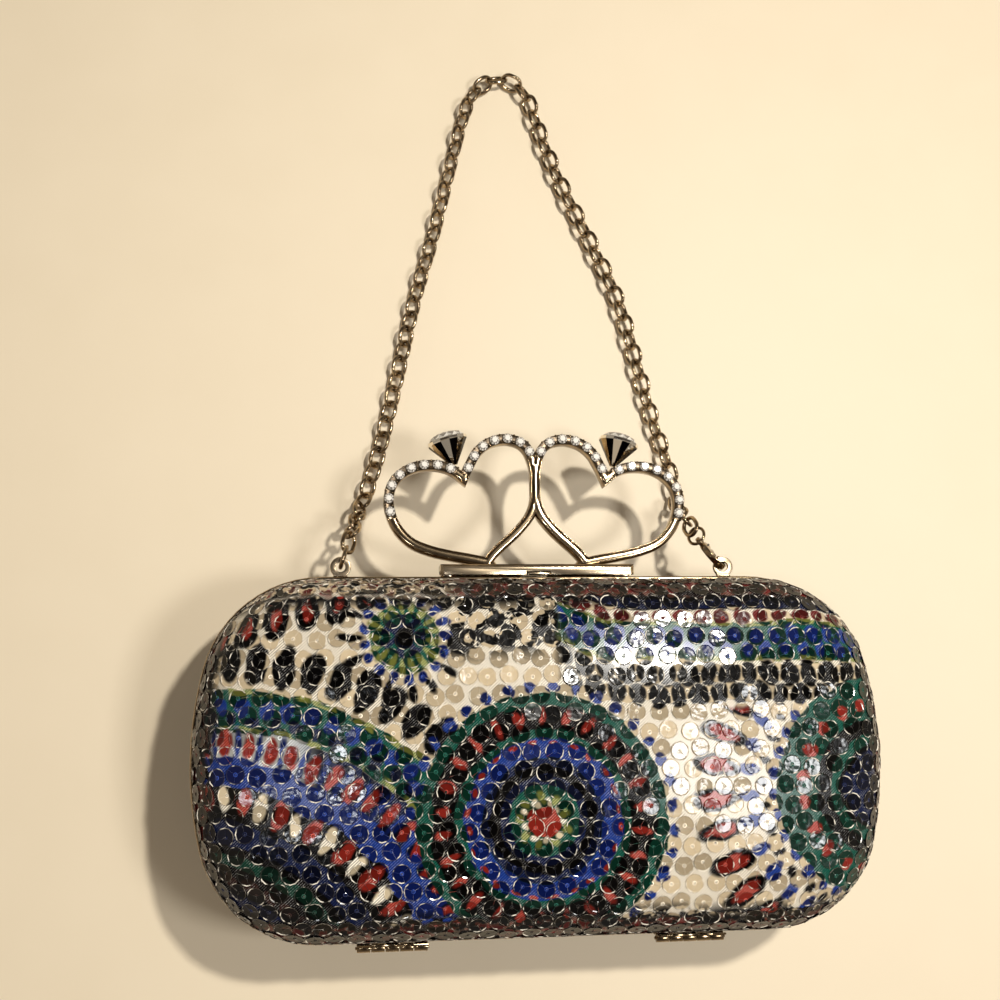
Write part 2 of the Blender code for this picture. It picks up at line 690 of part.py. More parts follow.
def cone_part(name, side, stations, finish):
    """A faceted turned piece on the axis of one cone stud."""
    apex = Vector((side * CONE_APEX_X, KNUCKLE_BASE_Y + CONE_APEX_HEIGHT, MIDDLE_Z))
    axis = Vector((side * math.sin(CONE_LEAN), math.cos(CONE_LEAN), 0))
    across = Vector((axis.y, -axis.x, 0))
    rings = []
    for distance, radius in stations:
        ring = []
        for u, v in circle(radius, CONE_SIDES, turn=math.pi / CONE_SIDES):
            ring.append(apex + axis * distance + across * u + Vector((0, 0, v)))
        rings.append(ring)
    item = make(name, [loft(rings)], finish, smooth=False)
    set_origin(item, (0, CLASP_AXIS_Y, CLASP_AXIS_Z))
    return item


def cone_stud(side, word, metal, crystal):
    """A pointed metal cup and the crown stone set in its rim."""
    rim = CONE_LENGTH + CONE_RIM_BAND
    seat = rim + CLEARANCE
    cone_part(word + "_cone_cup", side,
              ((0, CONE_FOOT_RADIUS), (CONE_LENGTH, CONE_RIM_RADIUS), (rim, CONE_RIM_RADIUS)),
              metal)
    cone_part(word + "_crown_stone", side,
              ((seat, CROWN_GIRDLE_RADIUS), (seat + CROWN_HEIGHT, CROWN_TABLE_RADIUS)), crystal)


def catch_tongue(finish):
    """The tongue of the front frame that lies under the bar."""
    low = MIDDLE_Z + FRAME_BOTTOM + CLEARANCE
    outline = [(BAR_UNDER_Y, low), (BAR_UNDER_Y + TONGUE_HEIGHT, low),
               (BAR_UNDER_Y + TONGUE_HEIGHT, low + TONGUE_DEPTH),
               (BAR_UNDER_Y, low + TONGUE_DEPTH)]
    solid = prism(outline, [], -TONGUE_HALF_LENGTH, TONGUE_HALF_LENGTH, along_x(0, 0))
    tongue = make("catch_tongue", [solid], finish)
    set_origin(tongue, (0, HINGE_AXIS_Y, MIDDLE_Z))
    return tongue


def lug(name, side, finish):
    """A round ear with a hole, on a short neck that stands on the back frame."""
    neck_y = BAR_UNDER_Y - LUG_HOLE_Y
    half = LUG_NECK_WIDTH / 2
    start = -math.pi / 2 + math.asin(half / LUG_EAR_RADIUS)
    steps = BARREL_STEPS
    ear = []
    for k in range(steps + 1):
        angle = start + (math.pi - 2 * (start + math.pi / 2) + math.pi) * k / steps
        ear.append((LUG_EAR_RADIUS * math.cos(angle), LUG_EAR_RADIUS * math.sin(angle)))
    outline = ear + [(-half, neck_y), (half, neck_y)]
    hole = circle(LUG_HOLE_RADIUS, BARREL_STEPS, turn=HALF_STEP)

    def place(u, v, w):
        return Vector((side * LUG_X + u, LUG_HOLE_Y + v, LUG_Z + w))

    solid = prism(outline, [hole], -LUG_THICKNESS / 2, LUG_THICKNESS / 2, place)
    return make(name, [solid], finish)


def chain_curve():
    """The chain's centre line, which spreads with the lugs."""
    spread = LUG_X / ROUTE_HALF_WIDTH
    return smooth_curve([Vector((x * spread, y, z)) for x, y, z in CHAIN_ROUTE], 6)


def chain(finish):
    """The chain's free stretch, as a tube of the links' width."""
    curve = bpy.data.curves.new("chain", "CURVE")
    curve.dimensions = "3D"
    curve.bevel_depth = LINK_WIDTH / 2
    curve.bevel_resolution = 2
    curve.use_fill_caps = True
    curve.materials.append(finish)
    points = evenly(chain_curve(), CHAIN_STEPS)
    spline = curve.splines.new("POLY")
    spline.points.add(len(points) - 1)
    for spot, point in zip(spline.points, points):
        spot.co = (*point, 1)
    item = bpy.data.objects.new("chain", curve)
    bpy.context.scene.collection.objects.link(item)
    return item


def end_link(finish):
    """The chain's first link, through the hole of the left lug."""
    heading = Vector((math.sin(END_LINK_TURN) * math.cos(END_LINK_DROP),
                      math.cos(END_LINK_TURN) * math.cos(END_LINK_DROP),
                      -math.sin(END_LINK_DROP)))
    level = heading.cross(Vector((0, 0, 1))).normalized()
    across = level.cross(heading)
    bend = (LINK_WIDTH - LINK_WIRE) / 2
    straight = (LINK_LENGTH - LINK_WIDTH) / 2
    hole = Vector((-LUG_X, LUG_HOLE_Y, LUG_Z))
    centre = hole + heading * (straight + bend)
    points = []
    for end in (1, -1):
        for k in range(LINK_END_STEPS + 1):
            angle = -math.pi / 2 + math.pi * k / LINK_END_STEPS
            along = end * (straight + bend * math.cos(angle))
            points.append(centre + heading * along + across * (end * bend * math.sin(angle)))
    return make("left_end_link", [tube(points, LINK_WIRE / 2, 6, closed=True)], finish)


def lobster_frame():
    """Axes of the lobster clasp: along it, across it in its plane, and its thickness."""
    hook = Vector((LUG_X, LUG_HOLE_Y, LUG_Z))
    along = Vector((math.sin(LOBSTER_TURN), -math.cos(LOBSTER_TURN), 0))
    level = Vector((0, 0, 1)).cross(along)
    across = Vector((0, 0, 1)) * math.cos(LOBSTER_ROLL) + level * math.sin(LOBSTER_ROLL)
    thick = along.cross(across)
    tail = hook - along * (LOBSTER_LENGTH - LOBSTER_HOOK_WIRE / 2)
    return tail, along, across, thick


def lobster_place():
    """Place a shape drawn in the lobster's own plane."""
    tail, along, across, thick = lobster_frame()
    return lambda u, v, w: tail + along * u + across * v + thick * w


def lobster_outline(shares):
    """An outline in shares of the lobster's length and half height."""
    return [(x * LOBSTER_LENGTH, y * LOBSTER_HALF_HEIGHT) for x, y in shares]


def lobster_body(finish):
    """The hooked body, with its tail eye and a slot for the gate."""
    place = lobster_place()
    pivot = lobster_outline([GATE_PIVOT_SHARES])[0]
    half = LOBSTER_BODY_THICKNESS / 2
    hook_half = LOBSTER_HOOK_THICKNESS / 2
    block = lobster_outline(BLOCK_OUTLINE_SHARES)
    pin_hole = circle(GATE_PIN_RADIUS + CLEARANCE / 2, BARREL_STEPS, pivot, HALF_STEP)
    body = make("lobster_body", [prism(block, [pin_hole], -half, half, place)], finish)
    hook = prism(lobster_outline(HOOK_OUTLINE_SHARES), [], -hook_half, hook_half, place)
    combine(body, make("hook", [hook], finish), "UNION")
    eye_centre = (-LOBSTER_EYE_SETBACK, 0)
    eye = prism(circle(LOBSTER_EYE_RADIUS, BARREL_STEPS, eye_centre, HALF_STEP), [],
                -hook_half, hook_half, place)
    combine(body, make("eye", [eye], finish), "UNION")
    bore = prism(circle(LOBSTER_EYE_HOLE, BARREL_STEPS, eye_centre), [], -half, half, place)
    combine(body, make("eye_bore", [bore], finish), "DIFFERENCE")
    slot_half = GATE_THICKNESS / 2 + CLEARANCE
    room = GATE_BARREL_RADIUS + CLEARANCE
    reach = LOBSTER_LENGTH * BLOCK_OUTLINE_SHARES[3][0] + CLEARANCE
    slot = [(pivot[0] - room, pivot[1] + room), (pivot[0] - room, -LOBSTER_HALF_HEIGHT),
            (reach, -LOBSTER_HALF_HEIGHT), (reach, pivot[1] + room)]
    combine(body, make("slot", [prism(slot, [], -slot_half, slot_half, place)], finish),
            "DIFFERENCE")
    return body


def lobster_gate(finish):
    """The thumb lever that closes the hook."""
    place = lobster_place()
    pivot = lobster_outline([GATE_PIVOT_SHARES])[0]
    half = GATE_THICKNESS / 2
    outline = lobster_outline(GATE_OUTLINE_SHARES)
    barrel = circle(GATE_BARREL_RADIUS, BARREL_STEPS, pivot, HALF_STEP)
    gate = make("lobster_gate", [prism(outline, [], -half, half, place)], finish)
    inset = half - LEAF_STRIP_INSET
    combine(gate, make("barrel", [prism(barrel, [], -inset, inset, place)], finish), "UNION")
    bore = circle(GATE_BORE_RADIUS, BARREL_STEPS, pivot)
    combine(gate, make("bore", [prism(bore, [], -LOBSTER_LENGTH, LOBSTER_LENGTH, place)],
                       finish), "DIFFERENCE")
    set_origin(gate, place(pivot[0], pivot[1], 0))
    return gate


def lobster_pin(finish):
    """The small pin that the gate turns on."""
    pivot = lobster_outline([GATE_PIVOT_SHARES])[0]
    half = LOBSTER_BODY_THICKNESS / 2
    solid = prism(circle(GATE_PIN_RADIUS, BARREL_STEPS, pivot), [], -half, half, lobster_place())
    return make("lobster_pin", [solid], finish)


def jump_ring(finish):
    """The ring between the lobster's tail eye and the chain."""
    tail, along, across, thick = lobster_frame()
    eye = tail - along * LOBSTER_EYE_SETBACK
    back = -along * math.cos(JUMP_RING_DROOP) - across * math.sin(JUMP_RING_DROOP)
    centre = eye + back * JUMP_RING_RADIUS
    points = []
    for u, v in circle(JUMP_RING_RADIUS, RING_STEPS):
        points.append(centre + back * u + thick * v)
    return make("jump_ring", [tube(points, JUMP_RING_WIRE / 2, 6, closed=True)], finish)


def build_case(gold, print_cloth, board, lining):
    """Both halves of the case, their frames and their hinges."""
    for side, word in ((-1, "back"), (1, "front")):
        parts = [half_pan(word + "_cover", 0, COVER_THICKNESS, side, print_cloth),
                 half_pan(word + "_shell", SHELL_START, SHELL_THICKNESS, side, board),
                 half_pan(word + "_lining", LINING_START, LINING_THICKNESS, side, lining),
                 rim_frame(word + "_frame", side, gold)]
        for part in parts:
            if side > 0:
                set_origin(part, (0, HINGE_AXIS_Y, MIDDLE_Z))
        for across, hand in ((-1, "left"), (1, "right")):
            hinge_leaf(hand + "_hinge_" + word, across * HINGE_CENTRE_X, side, gold)
    for across, hand in ((-1, "left"), (1, "right")):
        hinge_pin(hand + "_hinge_pin", across * HINGE_CENTRE_X, gold)
        lug(hand + "_lug", across, gold)


def build_clasp(gold, crystal, steel):
    """The finger clasp with its bearing, spring and catch."""
    clasp_bar(gold)
    pin = rod(CLASP_PIN_RADIUS, -CLASP_PIN_END, CLASP_PIN_END, CLASP_AXIS_Y, CLASP_AXIS_Z)
    make("clasp_pin", [pin], steel)
    clasp_spring(steel)
    catch_tongue(gold)
    for side, word in ((-1, "left"), (1, "right")):
        clasp_bearing(word + "_clasp_bearing", side, gold)
        heart_band(word + "_heart", side, gold)
        heart_stones(word + "_heart_stones", side, crystal)
        cone_stud(side, word, gold, crystal)


def build_chain(gold, steel):
    """The chain, its jump ring and its lobster clasp."""
    chain(gold)
    end_link(gold)
    jump_ring(gold)
    lobster_body(gold)
    lobster_gate(gold)
    lobster_pin(steel)


def main():
    """Build the whole clutch."""
    clear_scene()
    gold = material("pale_gold", (0.78, 0.63, 0.40), 0.16, 1.0)
    print_cloth = material("printed_satin", (0.10, 0.14, 0.12), 0.45, 0.0)
    board = material("shell_board", (0.30, 0.24, 0.18), 0.70, 0.0)
    lining = material("black_lining", (0.02, 0.02, 0.022), 0.80, 0.0)
    crystal = material("clear_crystal", (0.92, 0.93, 0.95), 0.04, 0.0)
    steel = material("spring_steel", (0.55, 0.56, 0.58), 0.30, 1.0)
    build_case(gold, print_cloth, board, lining)
    build_clasp(gold, crystal, steel)
    build_chain(gold, steel)


main()
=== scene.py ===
"""Looks of a hard evening clutch: printed satin, sewn sequins, gold frames and a heart clasp.

Metres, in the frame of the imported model: +X right, +Y towards the clasp, +Z out of the front.
"""
from math import asin, atan2, copysign, cos, pi, radians, sin, sqrt, tan

import bmesh
import bpy
from bpy.props import FloatProperty, FloatVectorProperty, PointerProperty
from mathutils import Matrix, Vector
from mathutils.bvhtree import BVHTree
from mathutils.geometry import barycentric_transform


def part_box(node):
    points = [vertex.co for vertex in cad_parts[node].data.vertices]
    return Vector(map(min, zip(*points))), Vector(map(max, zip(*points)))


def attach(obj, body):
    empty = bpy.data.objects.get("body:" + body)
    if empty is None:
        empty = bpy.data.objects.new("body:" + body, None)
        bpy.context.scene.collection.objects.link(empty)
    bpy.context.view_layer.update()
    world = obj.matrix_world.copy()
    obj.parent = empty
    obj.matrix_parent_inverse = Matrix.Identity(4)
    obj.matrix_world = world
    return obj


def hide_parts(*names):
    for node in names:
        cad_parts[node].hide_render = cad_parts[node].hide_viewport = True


bl_info = {
    "name": "Sequinned clutch",
    "version": (1, 0, 0),
    "blender": (4, 5, 0),
    "location": "3D View > Sidebar > Clutch",
    "description": "Dresses the solids of a hard clutch with print, sequins, gold and crystal",
    "category": "Object",
}

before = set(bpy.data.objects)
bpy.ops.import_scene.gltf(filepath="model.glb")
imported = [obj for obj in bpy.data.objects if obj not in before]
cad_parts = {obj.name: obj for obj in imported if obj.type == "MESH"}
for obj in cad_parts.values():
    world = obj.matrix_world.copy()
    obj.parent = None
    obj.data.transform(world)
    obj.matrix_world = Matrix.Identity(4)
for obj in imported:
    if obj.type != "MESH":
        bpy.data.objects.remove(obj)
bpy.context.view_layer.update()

MM = 0.001
UP = Vector((0, 0, 1))
HALVES = ((-1, "back"), (1, "front"))
HANDS = ((-1, "left"), (1, "right"))

# The case
MIDDLE_Z = 0.0250
CASE_HALF_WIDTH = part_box("front_frame")[1][0]
CASE_HALF_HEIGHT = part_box("front_frame")[1][1]
SIDE_ARC_RADIUS = 0.0960
CORNER_RADIUS = 0.0310
SHOULDER_RADIUS = 0.0140
WALL_LEAN = radians(8)
SHOULDER_END = radians(84)
PAN_EDGE = 0.00345
PAN_HEIGHT = MIDDLE_Z - PAN_EDGE
FRAME_PROUD = 0.0008
FRAME_WIDTH = 0.0037
CROWN = {1: 0.0025, -1: 0.0010}
FLAT_SHARE = {1: 0.30, -1: 0.60}
# Each skin of a half: end of its name, depth, thickness, look, end of its node's name
SKINS = (("_satin", 0, 0.0006, "printed_satin", "_cover"),
         ("_board", 0.0009, 0.0012, "shell_board", "_shell"),
         ("_lining_cloth", 0.0024, 0.0005, "black_lining", "_lining"))
# (inset, height) round the section of a rim
RIM_PROFILE = ((FRAME_WIDTH, 0.00015), (0.0004, 0.00015), (0.00012, 0.00024), (0, 0.0005),
               (0, 0.0021), (0.00016, 0.0024), (0.0003, 0.00247), (0.00016, 0.00262),
               (0.00016, 0.0029), (0.0003, 0.00309), (0.0006, 0.00315), (FRAME_WIDTH, 0.00315))

# Sequins: (radius, height, share of the way out) round the section of one
SEQUIN_PROFILE = ((0.00036, 0.00019, 0.15), (0.00052, 0.00012, 0.22), (0.00208, 0.00014, 0.88),
                  (0.00235, 0.00026, 1.00), (0.00210, 0.00006, 0.86), (0.00036, 0.00000, 0.15))
SEQUIN_CLEARANCE = 0.0041
SEQUIN_STRAY = 0.0004
LOWEST_SEQUIN = 0.0019
SEQUIN_LIFT = 0.00004

# The clasp; turned profiles are (radius, height), sections are (across, up)
BAR_TOP_Y = 0.04955
CLASP_AXIS = (0.0481, 0.0203)
SPRING_RADIUS = 0.00095
SPRING_HALF_LENGTH = 0.0028
SPRING_LEG = 0.0034
SPRING_WIRE = 0.00016
HEART_BASE_Y = 0.04985
HEART_HALF_WIDTH = 0.0396
HEART_HEIGHT = 0.0344
BAND_HALF_WIDTH = 0.0014
BAND_HALF_DEPTH = 0.00225
OUTER_LOBE = (
    (0.336, 0.012), (0.47, 0.042), (0.596, 0.068), (0.722, 0.103), (0.845, 0.162), (0.934, 0.261),
    (0.985, 0.381), (1, 0.497), (0.98, 0.613), (0.914, 0.706), (0.806, 0.766), (0.682, 0.776),
    (0.576, 0.744), (0.492, 0.674))
INNER_LOBE = (
    (0.45, 0.782), (0.394, 0.89), (0.311, 0.962), (0.206, 0.991), (0.109, 0.968), (0.044, 0.897),
    (0.004, 0.757), (0, 0.597), (0.004, 0.494), (0.04, 0.381), (0.109, 0.279), (0.181, 0.198),
    (0.25, 0.128), (0.303, 0.066))
FOOT_X = 0.0129
HEART_FOOT = ((0.0021, 0), (0.0021, 0.0005), (0.0017, 0.0009), (0.0012, 0.0022),
              (0.0005, 0.0026))
POST_STATIONS = ((0.0634, 0.0002), (0.0642, 0.0007), (0.0652, 0.0011), (0.0666, 0.0013),
                 (0.0745, 0.0013), (0.0765, 0.0010), (0.0782, 0.0003))
STONE_PITCH = 0.00362
# (distance of the first stone from the run's start, number of stones) of both runs
STONE_ROWS = ((0.0044, 8), (0.0030, 7))
STONE_LOW, STONE_HIGH = 0.00045, 0.00140
STONE_CUP = ((0.00100, -0.0003), (0.00128, 0.0), (0.00136, 0.0007), (0.00130, 0.00076),
             (0.00120, 0.0007), (0.0001, 0.0001))
STONE_BEAD = ((0.00030, -0.0002), (0.00036, 0.0003), (0.00030, 0.0006), (0.00012, 0.00074))
BEAD_OFFSET = 0.00096
STONE_CHANNEL = ((-1, -0.0004), (1, -0.0004), (1.02, 0.0001), (0.93, 0.00032), (0.80, 0.0002),
                 (-0.80, 0.0002), (-0.93, 0.00032), (-1.02, 0.0001))
CONE_X = 0.0219
CONE_RISE = 0.0274
CONE_LEAN = radians(16)
CONE_FACETS = 14
CONE_PROFILE = ((0.0008, -0.0004), (0.00545, 0.0061), (0.0055, 0.0063), (0.0055, 0.0069),
                (0.0053, 0.0070), (0.0051, 0.0069), (0.0045, 0.0059), (0.0003, 0.0010))
# (radius, height, steps, turn) from the table down
CROWN_RINGS = ((0.0030, 0.0087, 12, pi / 12), (0.0042, 0.0082, 12, 0), (0.0050, 0.0072, 24, 0))

# The strap
CHAIN_ROUTE = (
    (-0.0504, 0.0556, 0.0218), (-0.0497, 0.058, 0.0207), (-0.049, 0.0605, 0.0182),
    (-0.0483, 0.063, 0.0142), (-0.0476, 0.0655, 0.0098), (-0.0467, 0.0684, 0.006),
    (-0.0456, 0.0718, 0.0034), (-0.0444, 0.0756, 0.0026), (-0.0411, 0.087, 0.0025),
    (-0.036, 0.109, 0.0025), (-0.0313, 0.1303, 0.0025), (-0.0258, 0.1499, 0.0025),
    (-0.0207, 0.171, 0.0025), (-0.0172, 0.1852, 0.0025), (-0.0147, 0.193, 0.0025),
    (-0.0113, 0.1982, 0.0025), (-0.006, 0.2009, 0.0025), (-0.0005, 0.1997, 0.0025),
    (0.0032, 0.1953, 0.0025), (0.0056, 0.1884, 0.0025), (0.0085, 0.1795, 0.0025),
    (0.0134, 0.1672, 0.0025), (0.022, 0.1491, 0.0025), (0.0295, 0.1318, 0.0025),
    (0.0344, 0.1134, 0.0025), (0.0386, 0.0964, 0.0025), (0.0428, 0.0828, 0.0025),
    (0.0443, 0.077, 0.0025), (0.0449, 0.0731, 0.0031), (0.0448, 0.0701, 0.0047),
    (0.0444, 0.0679, 0.0073), (0.044, 0.0663, 0.0104), (0.0438, 0.0649, 0.0136),
    (0.044, 0.0635, 0.0164), (0.0443, 0.0621, 0.0186), (0.0447, 0.06065, 0.02))
LUG_HOLE = Vector((0.0523, 0.04935, 0.0232))
EAR_RADIUS = 0.00275
EAR_NECK = 0.0019
EAR_DROP = 0.00285
EAR_HOLE = 0.0013
EAR_THICKNESS = 0.0010
CHAIN_START = 0.0007
CHAIN_SPARE = 0.0012
# The link in the left lug: turned aside, dipping, and how far out its middle lies
END_LINK_ASIDE = radians(17)
END_LINK_DIP = radians(12)
END_LINK_REACH = 0.002925
EYE_REACH = 0.0009
RING_RADIUS = 0.0024
RING_WIRE = 0.00045
RING_LEAN = radians(40)
LOBSTER_TURN = radians(41)
LOBSTER_ROLL = radians(-28)
LOBSTER_REACH = 0.0083
LOBSTER_LENGTH = 0.0088
LOBSTER_HALF_WIDTH = 0.0026
# Outlines of the hook and the lever, in shares of the lobster clasp's length and half width
BODY_SHARES = (
    (0, 0.42), (0.15, 0.8), (0.34, 0.98), (0.5, 1), (0.7, 0.93), (0.88, 0.64), (0.985, 0.2),
    (1, -0.1), (0.96, -0.43), (0.86, -0.7), (0.74, -0.81), (0.615, -0.8), (0.61, -0.44),
    (0.72, -0.42), (0.82, -0.34), (0.88, -0.08), (0.87, 0.14), (0.8, 0.37), (0.68, 0.49),
    (0.52, 0.53), (0.39, 0.5), (0.31, 0.34), (0.275, 0), (0.27, -0.56), (0.23, -0.76),
    (0.15, -0.78), (0, -0.42))
GATE_SHARES = (
    (0.29, -0.12), (0.4, -0.44), (0.558, -0.45), (0.558, -0.79), (0.48, -0.84), (0.44, -1.16),
    (0.4, -1.23), (0.35, -1.21), (0.29, -0.86), (0.15, -0.64), (0.06, -0.48), (0.06, -0.16),
    (0.135, 0.01), (0.23, 0))
LEVER_PIN = ((0.0002, -0.00132), (0.0003, -0.00125), (0.0003, 0.00125), (0.0002, 0.00132))

# The stage
FLOOR_Z = -0.00055
# (name, place, point it faces, size, power, colour)
LIGHTS = (
    ("key", (0.18, 0.21, 0.66), (0, 0.05, 0), 0.035, 3.45, (1.0, 0.96, 0.89)),
    ("sheen", (0.26, -0.045, 0.62), (0.04, 0, 0), 0.11, 1.5, (0.98, 0.98, 0.98)),
    ("glow", (-0.145, -0.046, 0.62), (-0.06, 0, 0), 0.03, 0.18, (0.92, 0.96, 1.0)),
    ("left_fill", (-0.55, -0.35, 0.60), (0, 0, 0), 0.95, 0.65, (1.0, 0.80, 0.58)),
    ("right_fill", (0.60, -0.40, 0.50), (0, 0, 0), 0.90, 0.35, (1.0, 0.82, 0.60)))

# Materials made so far
FINISHES = {}


# Shader and geometry expressions

def both_ways(operation):
    """A Python operator that adds a Math node, and its reflected form."""
    def plain(self, other):
        return self.maths(operation, other)

    def reflected(self, other):
        return self.node("ShaderNodeMath", {"operation": operation}, {0: other, 1: self})

    return plain, reflected


class Wire:
    """One socket of a node tree, used like a number in expressions."""

    def __init__(self, tree, socket=None):
        self.tree = tree
        self.socket = socket

    def node(self, kind, settings=(), sockets=(), output=0):
        """Add a node: its settings first, then the values or links of its sockets."""
        made = self.tree.nodes.new(kind)
        for key, value in dict(settings).items():
            setattr(made, key, value)
        for key, value in dict(sockets).items():
            socket = made.inputs[key]
            if isinstance(value, Wire):
                self.tree.links.new(value.socket, socket)
            elif socket.type == "RGBA" and len(value) == 3:
                socket.default_value = (*value, 1.0)
            else:
                socket.default_value = value
        return Wire(self.tree, made.outputs[output] if len(made.outputs) else None)

    def other(self, name):
        """Another output of the same node."""
        return Wire(self.tree, self.socket.node.outputs[name])

    def maths(self, operation, *others, clamp=False):
        """A Math node on this value and others."""
        settings = {"operation": operation, "use_clamp": clamp}
        return self.node("ShaderNodeMath", settings, enumerate((self,) + others))

    __add__, __radd__ = both_ways("ADD")
    __sub__, __rsub__ = both_ways("SUBTRACT")
    __mul__, __rmul__ = both_ways("MULTIPLY")
    __truediv__, __rtruediv__ = both_ways("DIVIDE")
    __and__, __rand__ = both_ways("MINIMUM")
    __or__, __ror__ = both_ways("MAXIMUM")
    __gt__, __lt__ = both_ways("GREATER_THAN")

    def __abs__(self):
        return self.maths("ABSOLUTE")

    def __neg__(self):
        return self.maths("MULTIPLY", -1.0)

    def above(self, low=0.0):
        """This value, no lower than that, held between 0 and 1."""
        return self.maths("MAXIMUM", low, clamp=True)

    def inside(self, soft=0.3):
        """1 where this distance is above zero, with a soft edge of that width."""
        return self.maths("MULTIPLY_ADD", 1.0 / soft, 0.5, clamp=True)

    def mix(self, below, above):
        """A colour between two, by this factor."""
        settings = {"data_type": "RGBA", "blend_type": "MIX"}
        return self.node("ShaderNodeMix", settings, {0: self, 6: below, 7: above}, 2)

    def vector(self, operation, *others, output=0):
        """A Vector Math node on this vector and others."""
        return self.node("ShaderNodeVectorMath", {"operation": operation},
                         enumerate((self,) + others), output)

    def scaled(self, factor):
        """This vector or colour times a number."""
        return self.node("ShaderNodeVectorMath", {"operation": "SCALE"}, {0: self, 3: factor})

    def parts(self):
        """X, Y and Z of this vector."""
        x = self.node("ShaderNodeSeparateXYZ", {}, {0: self})
        return x, x.other("Y"), x.other("Z")

    def noise(self, scale, detail, output=0):
        """A noise texture at this place."""
        return self.node("ShaderNodeTexNoise", {},
                         {0: self, "Scale": scale, "Detail": detail}, output)

    def bump(self, strength, distance):
        """A normal that this height raises."""
        return self.node("ShaderNodeBump", {},
                         {"Strength": strength, "Distance": distance, "Height": self})

    def object_place(self):
        """The place on the object."""
        return self.node("ShaderNodeTexCoord", output="Object")

    def attribute(self, name):
        """A value stored on the mesh."""
        return self.node("ShaderNodeAttribute", {"attribute_name": name}, output=2)


# The print, in millimetres from the middle of the face

class Bands:
    """Bands and rows of ovals along a line of the print, in millimetres."""

    def __init__(self, along, across):
        self.along = along
        self.across = across

    def band(self, low, high, soft=0.35):
        """A band between two levels."""
        return ((high - low) / 2 - abs(self.across - (low + high) / 2)).inside(soft)

    def ovals(self, level, half_length, half_width, pitch, phase=0.0):
        """A row of ovals that stand across the line."""
        return self.row(self.along / pitch + phase, level, half_length, half_width, pitch)

    def row(self, count, level, half_length, half_width, pitch):
        """Ovals at equal steps of a count."""
        side = (count.maths("FRACT") - 0.5) * (pitch / half_width)
        up = (self.across - level) / half_length
        return ((1 - (side * side + up * up).maths("SQRT")) * half_width).inside(0.5)


class Rounds(Bands):
    """Rings and rows of petals about one point of the print."""

    def __init__(self, x, y, centre):
        dx = x - centre[0]
        dy = y - centre[1]
        super().__init__(dy.maths("ARCTAN2", dx), (dx * dx + dy * dy).maths("SQRT"))

    def ovals(self, radius, half_length, half_width, number, phase=0.0):
        """A ring of that many ovals that point at the middle."""
        return self.row(self.along * (number / (2 * pi)) + phase, radius, half_length,
                        half_width, 2 * pi * radius / number)

    def every_other(self, number):
        """1 in every second place of a ring of that many."""
        return (self.along * (number / (4 * pi))).maths("FRACT") > 0.5


